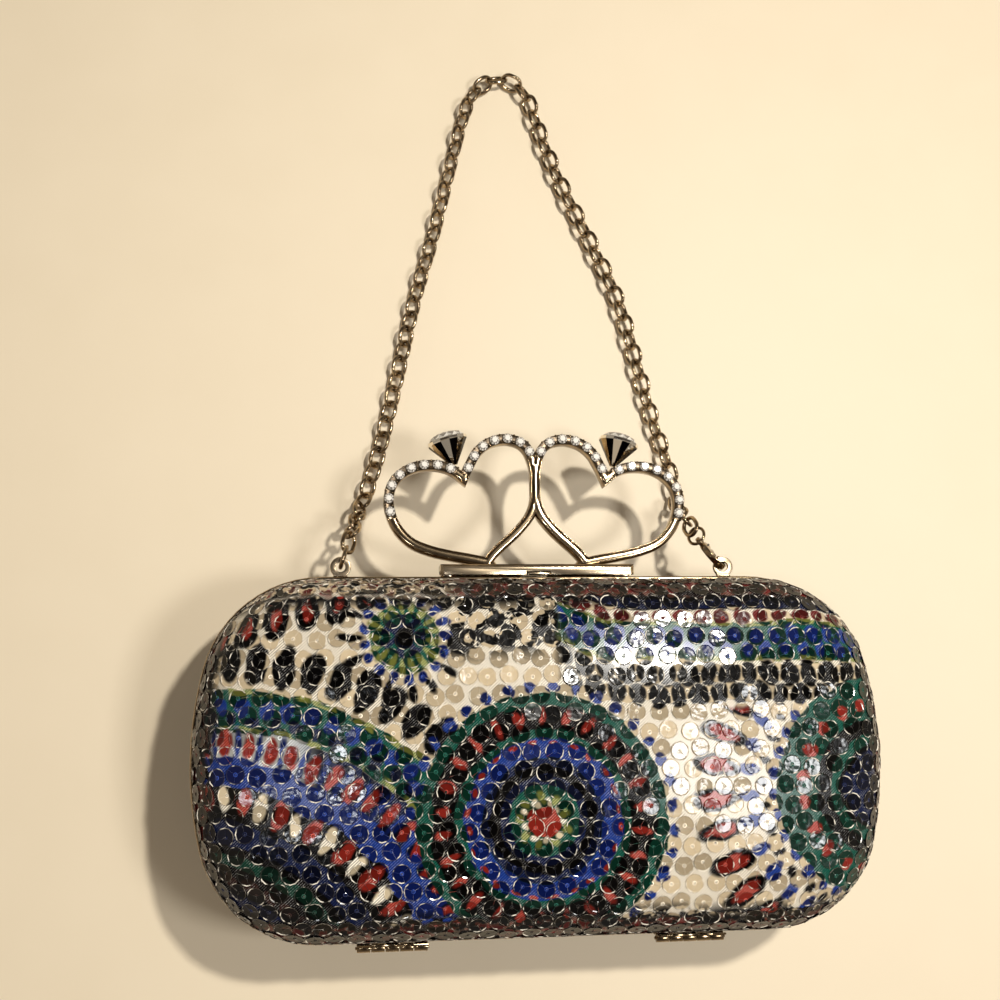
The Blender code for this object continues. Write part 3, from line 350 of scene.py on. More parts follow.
def printed_colour(wire, tone):
    """The colour of the print at each place, and the place."""
    place = wire.node("ShaderNodeUVMap", {"uv_map": "print"}).scaled(1 / MM)
    wobble = place.noise(0.16, 4.0, 1).vector("MULTIPLY_ADD", (2.6, 2.6, 0), (-1.3, -1.3, 0))
    x, y, z = place.vector("ADD", wobble).parts()
    blotch = place.noise(0.22, 2.0)
    patchy = (blotch - 0.50).inside(0.08)
    colour = blotch.mix(tone.cream_low, tone.cream)

    def paint(mask, ink):
        nonlocal colour
        colour = mask.mix(colour, ink)

    def paint_rows(bands, mask, *rows):
        """Bands (ink, low, high) and ovals (ink, level, lengths, pitch or number, phase)."""
        for ink, *sizes in rows:
            shape = (bands.band if len(sizes) == 2 else bands.ovals)(*sizes)
            paint(shape & mask if mask else shape, getattr(tone, ink))

    # Upper left: dark drops with red hearts, and blotches along the top
    west = (-20 - x).inside(1)
    top = Bands(y, x).band(-30, 6, 3)
    paint((blotch - 0.49).inside(0.03) & top & (y - 25).inside(4), tone.black)
    paint_rows(Bands(x, y - 32.3 - (x + 75.5) * 0.27), (-44 - x).inside(1),
               ("black", 0, 5.4, 3.1, 7.6, 0.434), ("red", 0, 2.8, 1.3, 7.6, 0.434))
    # Left: bands about a point at the lower left
    left = Rounds(x, y, (-81, -59))
    paint_rows(left, west, ("black", 82.6, 5.2, 2.8, 75), ("green", 66.0, 76.2))
    paint(left.band(66.0, 76.4) & west & patchy, tone.olive)
    paint_rows(left, west, ("green", 67.3, 75.0), ("royal", 72.0, 2.2, 1.9, 82),
               ("navy", 68.9, 1.6, 1.5, 82, 0.5), ("navy", 0, 66.0))
    paint(left.band(0, 66.0) & (-60 - x).inside(8), tone.white)
    left.across = left.across - ((-60 - x) * 0.05).above() * 2.6
    paint_rows(left, west, ("royal", 60.9, 4.0, 0.75, 71, 0.5), ("red", 60.9, 3.3, 1.5, 71),
               ("royal", 0, 57.6), ("black", 0, 51.0))
    paint(left.ovals(47.6, 3.3, 1.6, 67) & west, left.every_other(67).mix(tone.cream, tone.red))
    paint_rows(left, west, ("navy", 37.0, 42.5), ("bottle", 32.0, 35.0),
               ("brown", 28.5, 1.5, 2.0, 36), ("navy", 21.0, 25.5))
    # Right: flat bands that rise towards the middle
    rise = ((24 - x) | 0) * 0.11
    flat = Bands(x, y - rise * rise)
    east = (x - 2).inside(2)
    paint_rows(flat, east, ("black", 19.5, 2.9, 2.5, 5.3), ("black", 14.5, 2.8, 2.4, 5.3, 0.5),
               ("green", 22.6, 32.6))
    paint(flat.band(22.4, 32.8) & east & patchy, tone.olive)
    paint_rows(flat, east, ("green", 23.6, 31.8), ("royal", 29.3, 2.1, 1.7, 5.0),
               ("royal", 25.7, 2.0, 1.5, 5.0, 0.5), ("wine", 34.2, 1.6, 2.1, 5.2))
    paint((flat.across - 35.8).inside() & east, tone.black)
    paint_rows(flat, east, ("navy", 36.3, 38.8))
    # Right medallion
    right = Rounds(x, y, (84, -9.5))
    paint_rows(right, (x - 29).inside(1) & (10.8 - y).inside(1),
               ("black", 43.6, 6.2, 2.6, 34, 0.3), ("red", 43.6, 4.2, 1.7, 34, 0.3),
               ("royal", 35.2, 2.6, 1.6, 34, 0.3), ("black", 31.4, 1.6, 1.0, 34, 0.8),
               ("royal", 28.4, 1.4, 1.5, 34, 0.3))
    paint_rows(right, (x - 29).inside(1), ("green", 0, 27.6))
    paint_rows(right, None, ("red", 20.8, 1.9, 1.5, 20), ("black", 0, 17.0),
               ("green", 11.0, 13.5), ("navy", 0, 10.0))
    # Small rayed medallion
    paint_rows(Rounds(x, y, (-36.5, 29.4)), None, ("cream", 0, 11.0),
               ("black", 13.4, 2.6, 1.0, 15), ("royal", 10.2, 1.5, 1.2, 17, 0.5),
               ("green", 0, 8.7), ("olive", 7.2, 1.9, 0.75, 17), ("navy", 0, 5.3),
               ("green", 3.9, 1.3, 0.9, 7), ("black", 0, 2.2))
    # Main medallion
    main = Rounds(x, y, (-2.8, -15.4))
    paint_rows(main, (x + 17).inside(3), ("cream", 0, 31.4))
    paint_rows(main, None, ("royal", 32.4, 1.4, 1.5, 36), ("green", 0, 30.8),
               ("black", 21.6, 27.6), ("red", 24.8, 2.1, 1.0, 26), ("royal", 14.9, 19.6),
               ("red", 18.7, 0.6, 1.1, 24), ("navy", 8.7, 14.9), ("black", 10.8, 13.0),
               ("green", 0, 8.7), ("olive", 5.7, 1.4, 0.9, 9), ("cream", 4.6, 1.0, 0.8, 9, 0.5),
               ("red", 0, 3.7))
    # The walls of the case
    over = (abs(x) - 86) | (abs(y) - 40.5)
    wall = over.inside(2.0)
    streaks = place.noise(0.30, 2.0)
    paint((over + 3).inside(3.0) & (streaks - 0.46).inside(0.05), tone.black)
    paint(wall, (streaks - 0.56).inside(0.05).mix(tone.brown, tone.bronze))
    paint(wall & (-24 - x).inside(6) & (y - 34).inside(4), tone.cream_low)
    paint(wall & (streaks - 0.57).inside(0.04), tone.wine)
    paint(wall & (0.48 - streaks).inside(0.05), tone.black)
    return colour, place


# Materials: each function gives the values and wires of the shader's sockets

def printed_satin(wire, tone):
    """Glossy satin with the print and fine twill ribs, painted darker between the ribs as painted
    shade and with painted glints along them in patches.
    """
    colour, place = printed_colour(wire, tone)
    step = sqrt(2) * pi / (bpy.context.scene.clutch_sizes.twill_pitch / MM)
    across = place.vector("DOT_PRODUCT", (step * 0.96, -step * 1.04, 0), output=1)
    rib = across.maths("SINE") * 0.5 + 0.5
    grain = place.noise(2.4, 2.0)
    patch = place.noise(0.40, 1.0)
    # Painted shade: the colour darkens between the ribs, and the grain varies it at random.
    shaded = colour.scaled(rib * 0.80 + grain * 0.40 + 0.20)
    # Painted glints: a light colour mixed in along the ribs, in broken patches.
    line = ((rib - 0.58) * 2.6).above()
    glint_patches = ((patch - 0.37) * 3.0).above(0.04)
    broken = (grain * 3.2 - 1.25).above()
    painted_glint = colour.vector("MULTIPLY_ADD", (0.55, 0.55, 0.55), (0.45, 0.44, 0.42))
    return {"Base Color": (line * glint_patches * broken).mix(shaded, painted_glint),
            "Roughness": 0.15 + grain * 0.09, "Normal": rib.bump(0.35, 0.00001),
            "Specular IOR Level": 0.17}


def sequin_film(wire, tone):
    """Glossy tinted film over the print, with painted highlight arcs at the rim and a ring at the
    hole where the print shows through, brightened as a painted highlight.
    """
    colour, place = printed_colour(wire, tone)
    shade = wire.attribute("shade")
    reach = wire.attribute("reach")
    twice = colour.vector("MULTIPLY_ADD", (0.85, 0.85, 0.85), (0.27, 0.27, 0.27))
    film = colour.vector("MULTIPLY", twice).scaled(shade * 0.36 + 0.46)
    film = film.vector("MULTIPLY", tone.film)
    patch = place.noise(0.55, 1.0)
    # Painted highlights: broken arcs of the glint colour along the rim.
    rim = (reach - 0.90).inside(0.05) * ((patch - 0.50) * 7.0).above(0.02)
    # The print shows through the hole, brightened past the satin's colour as a painted highlight.
    hole = (0.03 - abs(reach - 0.19)).inside(0.03) * ((patch - 0.30) * 2.6)
    brightened_hole_print = colour.vector("MULTIPLY_ADD", (2.4, 2.4, 2.4), (0.03, 0.03, 0.03))
    return {"Base Color": rim.mix(hole.above().mix(film, brightened_hole_print), tone.glint),
            "Roughness": 0.09 + shade * 0.05, "Normal": patch.bump(1.0, 0.00006),
            "Specular IOR Level": 0.30}


def gold_plate(wire, tone, colour, dark, roughness=0.14, reflection_strength=0.5):
    """Polished plating with faint darker patches, which are painted dark reflections, and fine
    scratches.
    """
    place = wire.object_place()
    patch = place.noise(260.0, 3.0)
    fine = place.noise(2600.0, 2.0)
    # Painted dark reflections: noise patches blend the colour towards the dark one.
    painted_reflection = ((patch - 0.5) * 2.2 * reflection_strength + 0.32).above()
    return {"Base Color": painted_reflection.mix(colour, dark),
            "Roughness": patch * 0.12 + fine * 0.06 + (roughness - 0.08),
            "Normal": fine.bump(0.12, 0.00003), "Metallic": 1.0}


def faceted_gold(wire, tone):
    """Mirror plating of the cone studs, with every other facet, below the lip, painted dark as a
    painted dark reflection.
    """
    return {"Base Color": wire.attribute("shade").mix(tone.black, tone.glint),
            "Roughness": wire.object_place().noise(900.0, 2.0) * 0.12 + 0.04,
            "Metallic": 1.0}


def clear_crystal(wire, tone):
    """Clear faceted glass, its facets painted light and dark as painted reflections."""
    return {"Base Color": wire.attribute("shade").mix(tone.crystal_dark, tone.crystal),
            "Roughness": wire.object_place().noise(700.0, 1.0) * 0.06,
            "Transmission Weight": 0.12, "IOR": 1.6}


def woven_cloth(wire, tone, colour, light):
    """Matte woven cloth, lighter where its threads rise as a painted highlight, and lighter at
    random.
    """
    place = wire.object_place()
    x, y, z = place.parts()
    threads = ((x * 9000).maths("SINE") * (y * 9000).maths("SINE")) * 0.5 + 0.5
    noise = place.noise(400.0, 3.0)
    # Painted highlight: the raised threads take the lighter colour; the noise varies it at
    # random.
    return {"Base Color": (threads * 0.5 + noise * 0.5).mix(colour, light),
            "Roughness": noise * 0.2 + 0.68, "Normal": threads.bump(0.4, 0.00006)}


def sewing_thread(wire, tone):
    """Clear sewing thread, which shows the print below it, with painted glints in patches."""
    colour, place = printed_colour(wire, tone)
    noise = place.noise(0.8, 1.0)
    # Painted glints: where the noise is high the thread takes the glint colour.
    return {"Base Color": ((noise - 0.50) * 2.4).above(0.03).mix(colour, tone.glint),
            "Roughness": noise * 0.2 + 0.20, "Specular IOR Level": 0.25}


def pale_floor(wire, tone):
    """Plain pale floor."""
    noise = wire.object_place().noise(40.0, 4.0)
    return {"Base Color": noise.mix(tone.floor, tone.floor_light),
            "Roughness": noise * 0.1 + 0.5}


def finish(name):
    """One of the clutch's materials, made on first use."""
    if name in FINISHES:
        return FINISHES[name]
    tone = bpy.context.scene.clutch_colours
    look, *sizes = {
        "printed_satin": (printed_satin,),
        "sequin_film": (sequin_film,),
        "sewing_thread": (sewing_thread,),
        "black_lining": (woven_cloth, tone.lining, tone.lining_light),
        "shell_board": (woven_cloth, tone.board, tone.board_light),
        "pale_gold": (gold_plate, tone.pale_gold, tone.gold_shade),
        "champagne_gold": (gold_plate, tone.champagne, tone.champagne_shade, 0.20, 1.1),
        "old_gold": (gold_plate, tone.old_gold, tone.gold_shade, 0.13, 1.0),
        "dark_bronze": (gold_plate, tone.dark_bronze, tone.black, 0.30, 0.9),
        "spring_steel": (gold_plate, tone.steel, tone.steel_shade, 0.24),
        "faceted_gold": (faceted_gold,),
        "clear_crystal": (clear_crystal,),
        "pale_floor": (pale_floor,),
    }[name]
    made = bpy.data.materials.new(name)
    made.use_nodes = True
    shader = made.node_tree.nodes["Principled BSDF"]
    for socket, value in look(Wire(made.node_tree), tone, *sizes).items():
        if isinstance(value, Wire):
            made.node_tree.links.new(value.socket, shader.inputs[socket])
        else:
            shader.inputs[socket].default_value = value
    FINISHES[name] = made
    return made


# Making and handing over meshes

def new_object(name, data):
    """An object in the scene."""
    item = bpy.data.objects.new(name, data)
    bpy.context.scene.collection.objects.link(item)
    return item


def mesh_piece(name, mesh, look, body, stands_for=(), angle=35, smooth=True):
    """An object for a finished mesh, with its material, riding on its body."""
    mesh.materials.clear()
    mesh.materials.append(finish(look))
    if smooth:
        mesh.shade_smooth()
        mesh.set_sharp_from_angle(angle=radians(angle))
    else:
        mesh.shade_flat()
    item = new_object(name, mesh)
    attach(item, body)
    if stands_for:
        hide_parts(*stands_for)
    return item


def mesh_from(work, weld=0.0):
    """The mesh of a bmesh; with a weld distance, its points merged and faces turned out."""
    if weld:
        bmesh.ops.remove_doubles(work, verts=work.verts, dist=weld)
        bmesh.ops.recalc_face_normals(work, faces=work.faces)
    mesh = bpy.data.meshes.new("shape")
    work.to_mesh(mesh)
    work.free()
    return mesh


def shaped(*solids):
    """One mesh from solids of (points, faces), welded, facing out."""
    work = bmesh.new()
    for points, faces in solids:
        made = [work.verts.new(point) for point in points]
        for face in faces:
            work.faces.new([made[k] for k in face])
    return mesh_from(work, 0.000002)


def evaluated_mesh(item):
    """The mesh of an object with its modifiers, and the object itself removed."""
    graph = bpy.context.evaluated_depsgraph_get()
    graph.update()
    mesh = bpy.data.meshes.new_from_object(item.evaluated_get(graph), depsgraph=graph)
    bpy.data.objects.remove(item, do_unlink=True)
    return mesh


def eased_piece(name, node, look, body, bevel, angle=35, sharp=40):
    """A piece from a CAD node's mesh with its hard edges rounded."""
    work = bmesh.new()
    work.from_mesh(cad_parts[node].data)
    bmesh.ops.remove_doubles(work, verts=work.verts, dist=0.000003)
    bmesh.ops.dissolve_limit(work, angle_limit=radians(1), verts=work.verts,
                             edges=work.edges)
    item = new_object("eased", mesh_from(work))
    edge = item.modifiers.new("edges", "BEVEL")
    edge.width = bevel
    edge.segments = 2
    edge.limit_method = "ANGLE"
    edge.angle_limit = radians(angle)
    mesh_piece(name, evaluated_mesh(item), look, body, [node], sharp)


def plate(loops, thickness, bevel, place):
    """A flat piece with rounded edges: its outline, then its holes."""
    curve = bpy.data.curves.new("plate", "CURVE")
    curve.dimensions = "2D"
    curve.fill_mode = "BOTH"
    curve.extrude = thickness / 2 - bevel
    curve.bevel_depth = bevel
    curve.bevel_resolution = 3
    curve.offset = -bevel
    for loop in loops:
        spline = curve.splines.new("POLY")
        spline.points.add(len(loop) - 1)
        for spot, (u, v) in zip(spline.points, loop):
            spot.co = (u, v, 0, 1)
        spline.use_cyclic_u = True
    mesh = evaluated_mesh(new_object("plate", curve))
    mesh.transform(place)
    work = bmesh.new()
    work.from_mesh(mesh)
    return mesh_from(work, 0.000004)


def joined(*meshes):
    """Several meshes as one."""
    work = bmesh.new()
    for mesh in meshes:
        work.from_mesh(mesh)
    return mesh_from(work)


def store(mesh, name, domain, values):
    """Keep a value for each point or face, which the materials read."""
    mesh.attributes.new(name, "FLOAT", domain).data.foreach_set("value", values)


def loft(rings, closed=False):
    """Skin a list of equal rings; an open loft gets a cap at each end."""
    count = len(rings[0])
    points = [point for ring in rings for point in ring]
    faces = []
    for i in range(len(rings) if closed else len(rings) - 1):
        here = i * count
        there = (i + 1) % len(rings) * count
        for k in range(count):
            after = (k + 1) % count
            faces.append((here + k, here + after, there + after, there + k))
    if not closed:
        faces.append(tuple(reversed(range(count))))
        faces.append(tuple(range(len(points) - count, len(points))))
    return points, faces


def steps_round(count, shift=0.0):
    """Angles of that many equal steps round a circle."""
    return [2 * pi * (k + shift) / count for k in range(count)]


def circle(radius, steps, centre=(0, 0), turn=0.0):
    """Points of a round outline."""
    angles = [turn + 2 * pi * k / steps for k in range(steps)]
    return [(centre[0] + radius * cos(a), centre[1] + radius * sin(a)) for a in angles]


def turned(profile, steps, place=Matrix.Identity(4), turn=0.0):
    """A turned piece: rings of (radius, height) about its own axis, put in place."""
    return loft([[place @ Vector((u, v, height))
                  for u, v in circle(max(radius, 0.000005), steps, turn=turn)]
                 for radius, height in profile])


def tube(points, radius, sides, closed=False):
    """A round wire along a list of points."""
    count = len(points)
    rings = []
    across = None
    for i, point in enumerate(points):
        if closed:
            heading = points[(i + 1) % count] - points[i - 1]
        else:
            heading = points[min(i + 1, count - 1)] - points[max(i - 1, 0)]
        heading = heading.normalized()
        if across is None:
            across = heading.orthogonal()
        across = (across - heading * across.dot(heading)).normalized()
        up = heading.cross(across)
        rings.append([point + (across * cos(a) + up * sin(a)) * radius
                      for a in steps_round(sides, 0.5)])
    return loft(rings, closed)


def smooth_curve(points, samples, closed=False):
    """Points of a Catmull-Rom curve through the given ones."""
    result = []
    count = len(points)
    for i in range(count if closed else count - 1):
        a, b, c, d = (points[(i + k) % count if closed else min(max(i + k, 0), count - 1)]
                      for k in (-1, 0, 1, 2))
        for k in range(samples):
            t = k / samples
            result.append(0.5 * (2 * b + (c - a) * t + (2 * a - 5 * b + 4 * c - d) * t ** 2
                                 + (3 * b - a - 3 * c + d) * t ** 3))
    if not closed:
        result.append(points[-1].copy())
    return result


def evenly(points, count):
    """The given number of equal steps along a run of points."""
    lengths = [0.0]
    for a, b in zip(points, points[1:]):
        lengths.append(lengths[-1] + (b - a).length)
    result = []
    span = 0
    for k in range(count + 1):
        target = lengths[-1] * k / count
        while span < len(points) - 2 and lengths[span + 1] < target:
            span += 1
        part = (target - lengths[span]) / (lengths[span + 1] - lengths[span])
        result.append(points[span].lerp(points[span + 1], part))
    return result


def point_along(points, distance):
    """The point at a distance along a run of points."""
    for a, b in zip(points, points[1:]):
        step = (b - a).length
        if distance <= step:
            return a.lerp(b, distance / step)
        distance -= step
    return points[-1].copy()


# Repeating one small piece

def repeat_tree():
    """Geometry Nodes that set one small piece at every marked point."""
    name = "repeat_piece"
    if name in bpy.data.node_groups:
        return bpy.data.node_groups[name]
    tree = bpy.data.node_groups.new(name, "GeometryNodeTree")
    for word, kind in (("Points", "Geometry"), ("Piece", "Object"), ("Scale", "Float"),
                       ("Tilt", "Float"), ("Seed", "Int"), ("Finish", "Material")):
        tree.interface.new_socket(word, in_out="INPUT", socket_type="NodeSocket" + kind)
    tree.interface.new_socket("Geometry", in_out="OUTPUT", socket_type="NodeSocketGeometry")

    def all_three(value):
        return value.node("ShaderNodeCombineXYZ", {}, {0: value, 1: value, 2: value})

    start = Wire(tree).node("NodeGroupInput")
    turn = start.node("GeometryNodeInputNamedAttribute", {"data_type": "FLOAT_VECTOR"},
                      {0: "turn"})
    turn = turn.node("FunctionNodeEulerToRotation", {}, {0: turn})
    tilt = start.other("Tilt")
    sway = tilt.node("FunctionNodeRandomValue", {"data_type": "FLOAT_VECTOR"},
                     {0: all_three(-tilt), 1: all_three(tilt), "Seed": start.other("Seed")})
    sway = sway.node("FunctionNodeEulerToRotation", {}, {0: sway})
    turn = turn.node("FunctionNodeRotateRotation", {"rotation_space": "LOCAL"},
                     {0: turn, 1: sway})
    piece = start.node("GeometryNodeObjectInfo", {}, {0: start.other("Piece")}, 4)
    whole = start.node("GeometryNodeInstanceOnPoints", {},
                       {"Points": start, "Instance": piece, "Rotation": turn,
                        "Scale": all_three(start.other("Scale"))})
    whole = whole.node("GeometryNodeRealizeInstances", {}, {0: whole})
    whole = whole.node("GeometryNodeSetMaterial", {},
                       {0: whole, "Material": start.other("Finish")})
    whole.node("NodeGroupOutput", {}, {0: whole})
    return tree


def repeated(places, turns, small, look, tilt=0.0, seed=1):
    """A plain mesh with a copy of the small mesh at every place."""
    source = new_object("small_piece", small)
    marks = bpy.data.meshes.new("marks")
    marks.from_pydata([tuple(p) for p in places], [], [])
    turn = marks.attributes.new("turn", "FLOAT_VECTOR", "POINT")
    turn.data.foreach_set("vector", [c for t in turns for c in t.to_euler()])
    holder = new_object("marks", marks)
    modifier = holder.modifiers.new("repeat", "NODES")
    modifier.node_group = repeat_tree()
    values = {"Piece": source, "Scale": 1.0, "Tilt": tilt, "Seed": seed, "Finish": finish(look)}
    for socket in modifier.node_group.interface.items_tree:
        if socket.in_out == "INPUT" and socket.name in values:
            modifier[socket.identifier] = values[socket.name]
    mesh = evaluated_mesh(holder)
    bpy.data.objects.remove(source, do_unlink=True)
    return mesh


# The case

def case_outline(inset, scale=1.0):
    """Outline of the case: bowed sides, round corners, straight top and bottom."""
    side_x = CASE_HALF_WIDTH - SIDE_ARC_RADIUS
    corner_y = CASE_HALF_HEIGHT - CORNER_RADIUS
    reach = SIDE_ARC_RADIUS - CORNER_RADIUS
    corner_x = side_x + sqrt(reach ** 2 - corner_y ** 2)
    join = atan2(corner_y, corner_x - side_x)
    top = CASE_HALF_HEIGHT - inset
    quarter = []
    for x, y, radius, start, end, steps in (
            (side_x, 0, SIDE_ARC_RADIUS - inset, 0, join, 5),
            (corner_x, corner_y, CORNER_RADIUS - inset, join, pi / 2, 12)):
        for k in range(steps):
            angle = start + (end - start) * k / steps
            quarter.append((x + radius * cos(angle), y + radius * sin(angle)))
    quarter += [(corner_x * (1 - k / 9), top) for k in range(9)]
    upper = quarter + [(0, top)] + [(-x, y) for x, y in reversed(quarter)]
    loop = upper + [(-x, -y) for x, y in upper[1:-1]]
    return [(x * scale, y * scale) for x, y in loop]


def ring_at(inset, z, scale=1.0):
    """The case outline as points at one height."""
    return [Vector((x, y, z)) for x, y in case_outline(inset, scale)]


def pan_stations(depth, side):
    """(inset, height, share, unfolded inset) of one skin of a half case, edge to middle."""
    crown = CROWN[side]
    rise = SHOULDER_RADIUS * (sin(SHOULDER_END) - sin(WALL_LEAN))
    wall = PAN_HEIGHT - crown - rise
    centre_inset = FRAME_PROUD + wall * tan(WALL_LEAN) + SHOULDER_RADIUS * cos(WALL_LEAN)
    centre_height = wall - SHOULDER_RADIUS * sin(WALL_LEAN)
    radius = SHOULDER_RADIUS - depth
    edge_inset = centre_inset - radius * cos(SHOULDER_END)
    bend = SHOULDER_END - WALL_LEAN
    stations = []
    for k in range(4):
        part = k / 4
        inset = (1 - part) * (FRAME_PROUD + depth / cos(WALL_LEAN)) + part * (
            centre_inset - radius * cos(WALL_LEAN))
        height = part * (centre_height + radius * sin(WALL_LEAN))
        unfolded = edge_inset - SHOULDER_RADIUS * bend - wall * (1 - part)
        stations.append((inset, height, 1.0, unfolded))
    for k in range(13):
        angle = WALL_LEAN + bend * k / 12
        stations.append((centre_inset - radius * cos(angle),
                         centre_height + radius * sin(angle), 1.0,
                         edge_inset - SHOULDER_RADIUS * bend * (1 - k / 12)))
    last = FLAT_SHARE[side]
    edge = centre_height + radius * sin(SHOULDER_END)
    for k in range(1, 16):
        share = 1 - k / 16
        height = edge + crown * min(1, (1 - share ** 2) / (1 - last ** 2))
        stations.append((edge_inset, height, share, edge_inset))
    return stations


def pan_rings(depth, side):
    """Rings of one skin, and where each point lies on the flat print."""
    rings = []
    flat = []
    for inset, height, share, unfolded in pan_stations(depth, side):
        rings.append(ring_at(inset, MIDDLE_Z + side * (PAN_EDGE + height), share))
        flat.append(case_outline(unfolded, share))
    return rings, flat


def skin_mesh(start, thickness, side):
    """One layer of a half case as a closed mesh, with its place on the print."""
    outer, flat_out = pan_rings(start, side)
    inner, flat_in = pan_rings(start + thickness, side)
    points, faces = loft(list(reversed(inner)) + outer)
    flat = [pair for ring in list(reversed(flat_in)) + flat_out for pair in ring]
    mesh = bpy.data.meshes.new("skin")
    mesh.from_pydata([tuple(p) for p in points], [], faces)
    layer = mesh.uv_layers.new(name="print")
    for loop in mesh.loops:
        layer.data[loop.index].uv = flat[loop.vertex_index]
    if side < 0:
        mesh.flip_normals()
    return mesh


def make_covers():
    """The satin covers, shells and linings of both halves."""
    for side, word in HALVES:
        for ending, start, thickness, look, node in SKINS:
            mesh_piece(word + ending, skin_mesh(start, thickness, side), look, word + "_half",
                       [word + node], 60)


def make_frames():
    """The two gold rims, with a rolled bead along their outer edges."""
    for side, word in HALVES:
        rings = [ring_at(inset, MIDDLE_Z + side * height) for inset, height in RIM_PROFILE]
        mesh_piece(word + "_rim", shaped(loft(rings, closed=True)), "pale_gold",
                   word + "_half", [word + "_frame"], 40)


def sequin_places(side, across, along):
    """Where sequins are sewn on one half: place, normal, and place on the print."""
    rings, flat = pan_rings(0, side)
    points, faces = loft(rings)
    spread = [Vector((u, v, 0)) for ring in flat for u, v in ring]
    triangles = [(face[0], face[k], face[k + 1]) for face in faces[:-2] + faces[-1:]
                 for k in range(1, len(face) - 1)]
    tree = BVHTree.FromPolygons(spread, triangles)
    reach = PAN_HEIGHT + SHOULDER_RADIUS
    rows = int((CASE_HALF_HEIGHT + reach) / along) + 1
    columns = int((CASE_HALF_WIDTH + reach) / across) + 1
    level = MIDDLE_Z + side * (PAN_EDGE + LOWEST_SEQUIN)
    found = []
    for j in range(-rows, rows + 1):
        for i in range(-columns, columns + 1):
            spot = Vector(((i + 0.5 * (j % 2)) * across, j * along + 0.001, 0))
            spot.x += SEQUIN_STRAY * sin(1.7 * i + 2.3 * j)
            spot.y += SEQUIN_STRAY * sin(2.9 * i - 1.1 * j)
            near, normal, index, distance = tree.find_nearest(spot)
            if distance > 0.0001:
                continue
            a, b, c = triangles[index]
            place = barycentric_transform(near, spread[a], spread[b], spread[c],
                                          points[a], points[b], points[c])
            up = (points[b] - points[a]).cross(points[c] - points[a]).normalized()
            outward = up.z * side if abs(up.z) > 0.02 else up.xy.dot(place.xy)
            if outward < 0:
                up.negate()
            if (place.z - level) * side >= 0 and all(
                    (place - other[0]).length >= SEQUIN_CLEARANCE for other in found):
                found.append((place, up, spot))
    return found


def upright(normal):
    """A turn whose Z is the normal and whose Y points up the face."""
    up = Vector((0, 1, 0))
    if abs(normal.dot(up)) > 0.95:
        up = Vector((0, 0, -1 if normal.y > 0 else 1))
    x = up.cross(normal).normalized()
    y = normal.cross(x)
    return Matrix((x, y, normal)).transposed()


def sequin_shape(radius):
    """A shallow cupped disc with a hole in its middle, and how far out each point lies."""
    share = radius / SEQUIN_PROFILE[3][0]
    rings = [[Vector((u, v, height)) for u, v in circle(r * share, 12)]
             for r, height, reach in SEQUIN_PROFILE]
    points, faces = loft(rings, closed=True)
    mesh = bpy.data.meshes.new("sequin")
    mesh.from_pydata([tuple(point) for point in points], [], faces)
    return mesh, [reach for r, height, reach in SEQUIN_PROFILE for k in range(12)]


def thread_shape(radius):
    """Three fine stitches from the hole of a sequin over its rim, and a small knot."""
    solids = [turned([(0.00008, 0), (0.00012, 0.00010), (0.00006, 0.00020)], 6,
                     Matrix.Translation((0, 0, 0.00012)))]
    for angle in (0.0, 2.0, 4.1):
        out = Vector((sin(angle), cos(angle), 0))
        stitch = [UP * 0.00008, out * 0.0004 + UP * 0.00022, out * 0.0018 + UP * 0.00026,
                  out * radius + UP * 0.00040, out * (radius + 0.0003)]
        solids.append(tube(stitch, 0.000028, 3))
    return shaped(*solids)


def sewn(found, turns, small, look, tilt=0.0, seed=1, shift=0.0):
    """A copy of the small mesh at every sewn place, which knows its place on the print."""
    places = [place + up * SEQUIN_LIFT for place, up, spot in found]
    local = [Vector((v.co.x, v.co.y, 0)) for v in small.vertices]
    mesh = repeated(places, turns, small, look, tilt, seed)
    layer = mesh.uv_layers.new(name="print")
    for loop in mesh.loops:
        copy, corner = divmod(loop.vertex_index, len(local))
        off = Vector((sin(3.7 * copy), cos(5.3 * copy), 0)) * shift
        layer.data[loop.index].uv = (found[copy][2] + local[corner] + off).xy
    return mesh


def make_sequins():
    """Cupped sequins sewn in staggered rows over both halves, with their threads."""
    sizes = bpy.context.scene.clutch_sizes
    radius = sizes.sequin_diameter / 2
    for side, word in HALVES:
        found = sequin_places(side, sizes.sequin_spacing, sizes.sequin_row)
        turns = [upright(up) for place, up, spot in found]
        small, reach = sequin_shape(radius)
        mesh = sewn(found, turns, small, "sequin_film", radians(2.6), 3, 0.0005)
        store(mesh, "shade", "POINT", [0.5 + 0.5 * sin(12.9898 * copy + 4.1)
                                       for copy in range(len(found)) for corner in reach])
        store(mesh, "reach", "POINT", reach * len(found))
        mesh_piece(word + "_sequins", mesh, "sequin_film", word + "_half", angle=12)
        turns = [Matrix.Rotation(2.4 * k, 3, up) @ upright(up)
                 for k, (place, up, spot) in enumerate(found)]
        mesh = sewn(found, turns, thread_shape(radius), "sewing_thread")
        mesh_piece(word + "_stitches", mesh, "sewing_thread", word + "_half")


def make_hinges():
    """The two case hinges: leaves with their knuckles, and pins."""
    for hand in ("left", "right"):
        for part, ending, half in (("back", "_leaf", "back"), ("front", "_leaf", "front"),
                                   ("pin", "_rod", "back")):
            node = f"{hand}_hinge_{part}"
            eased_piece(node + ending, node, "pale_gold", half + "_half", 0.00012)


# The clasp

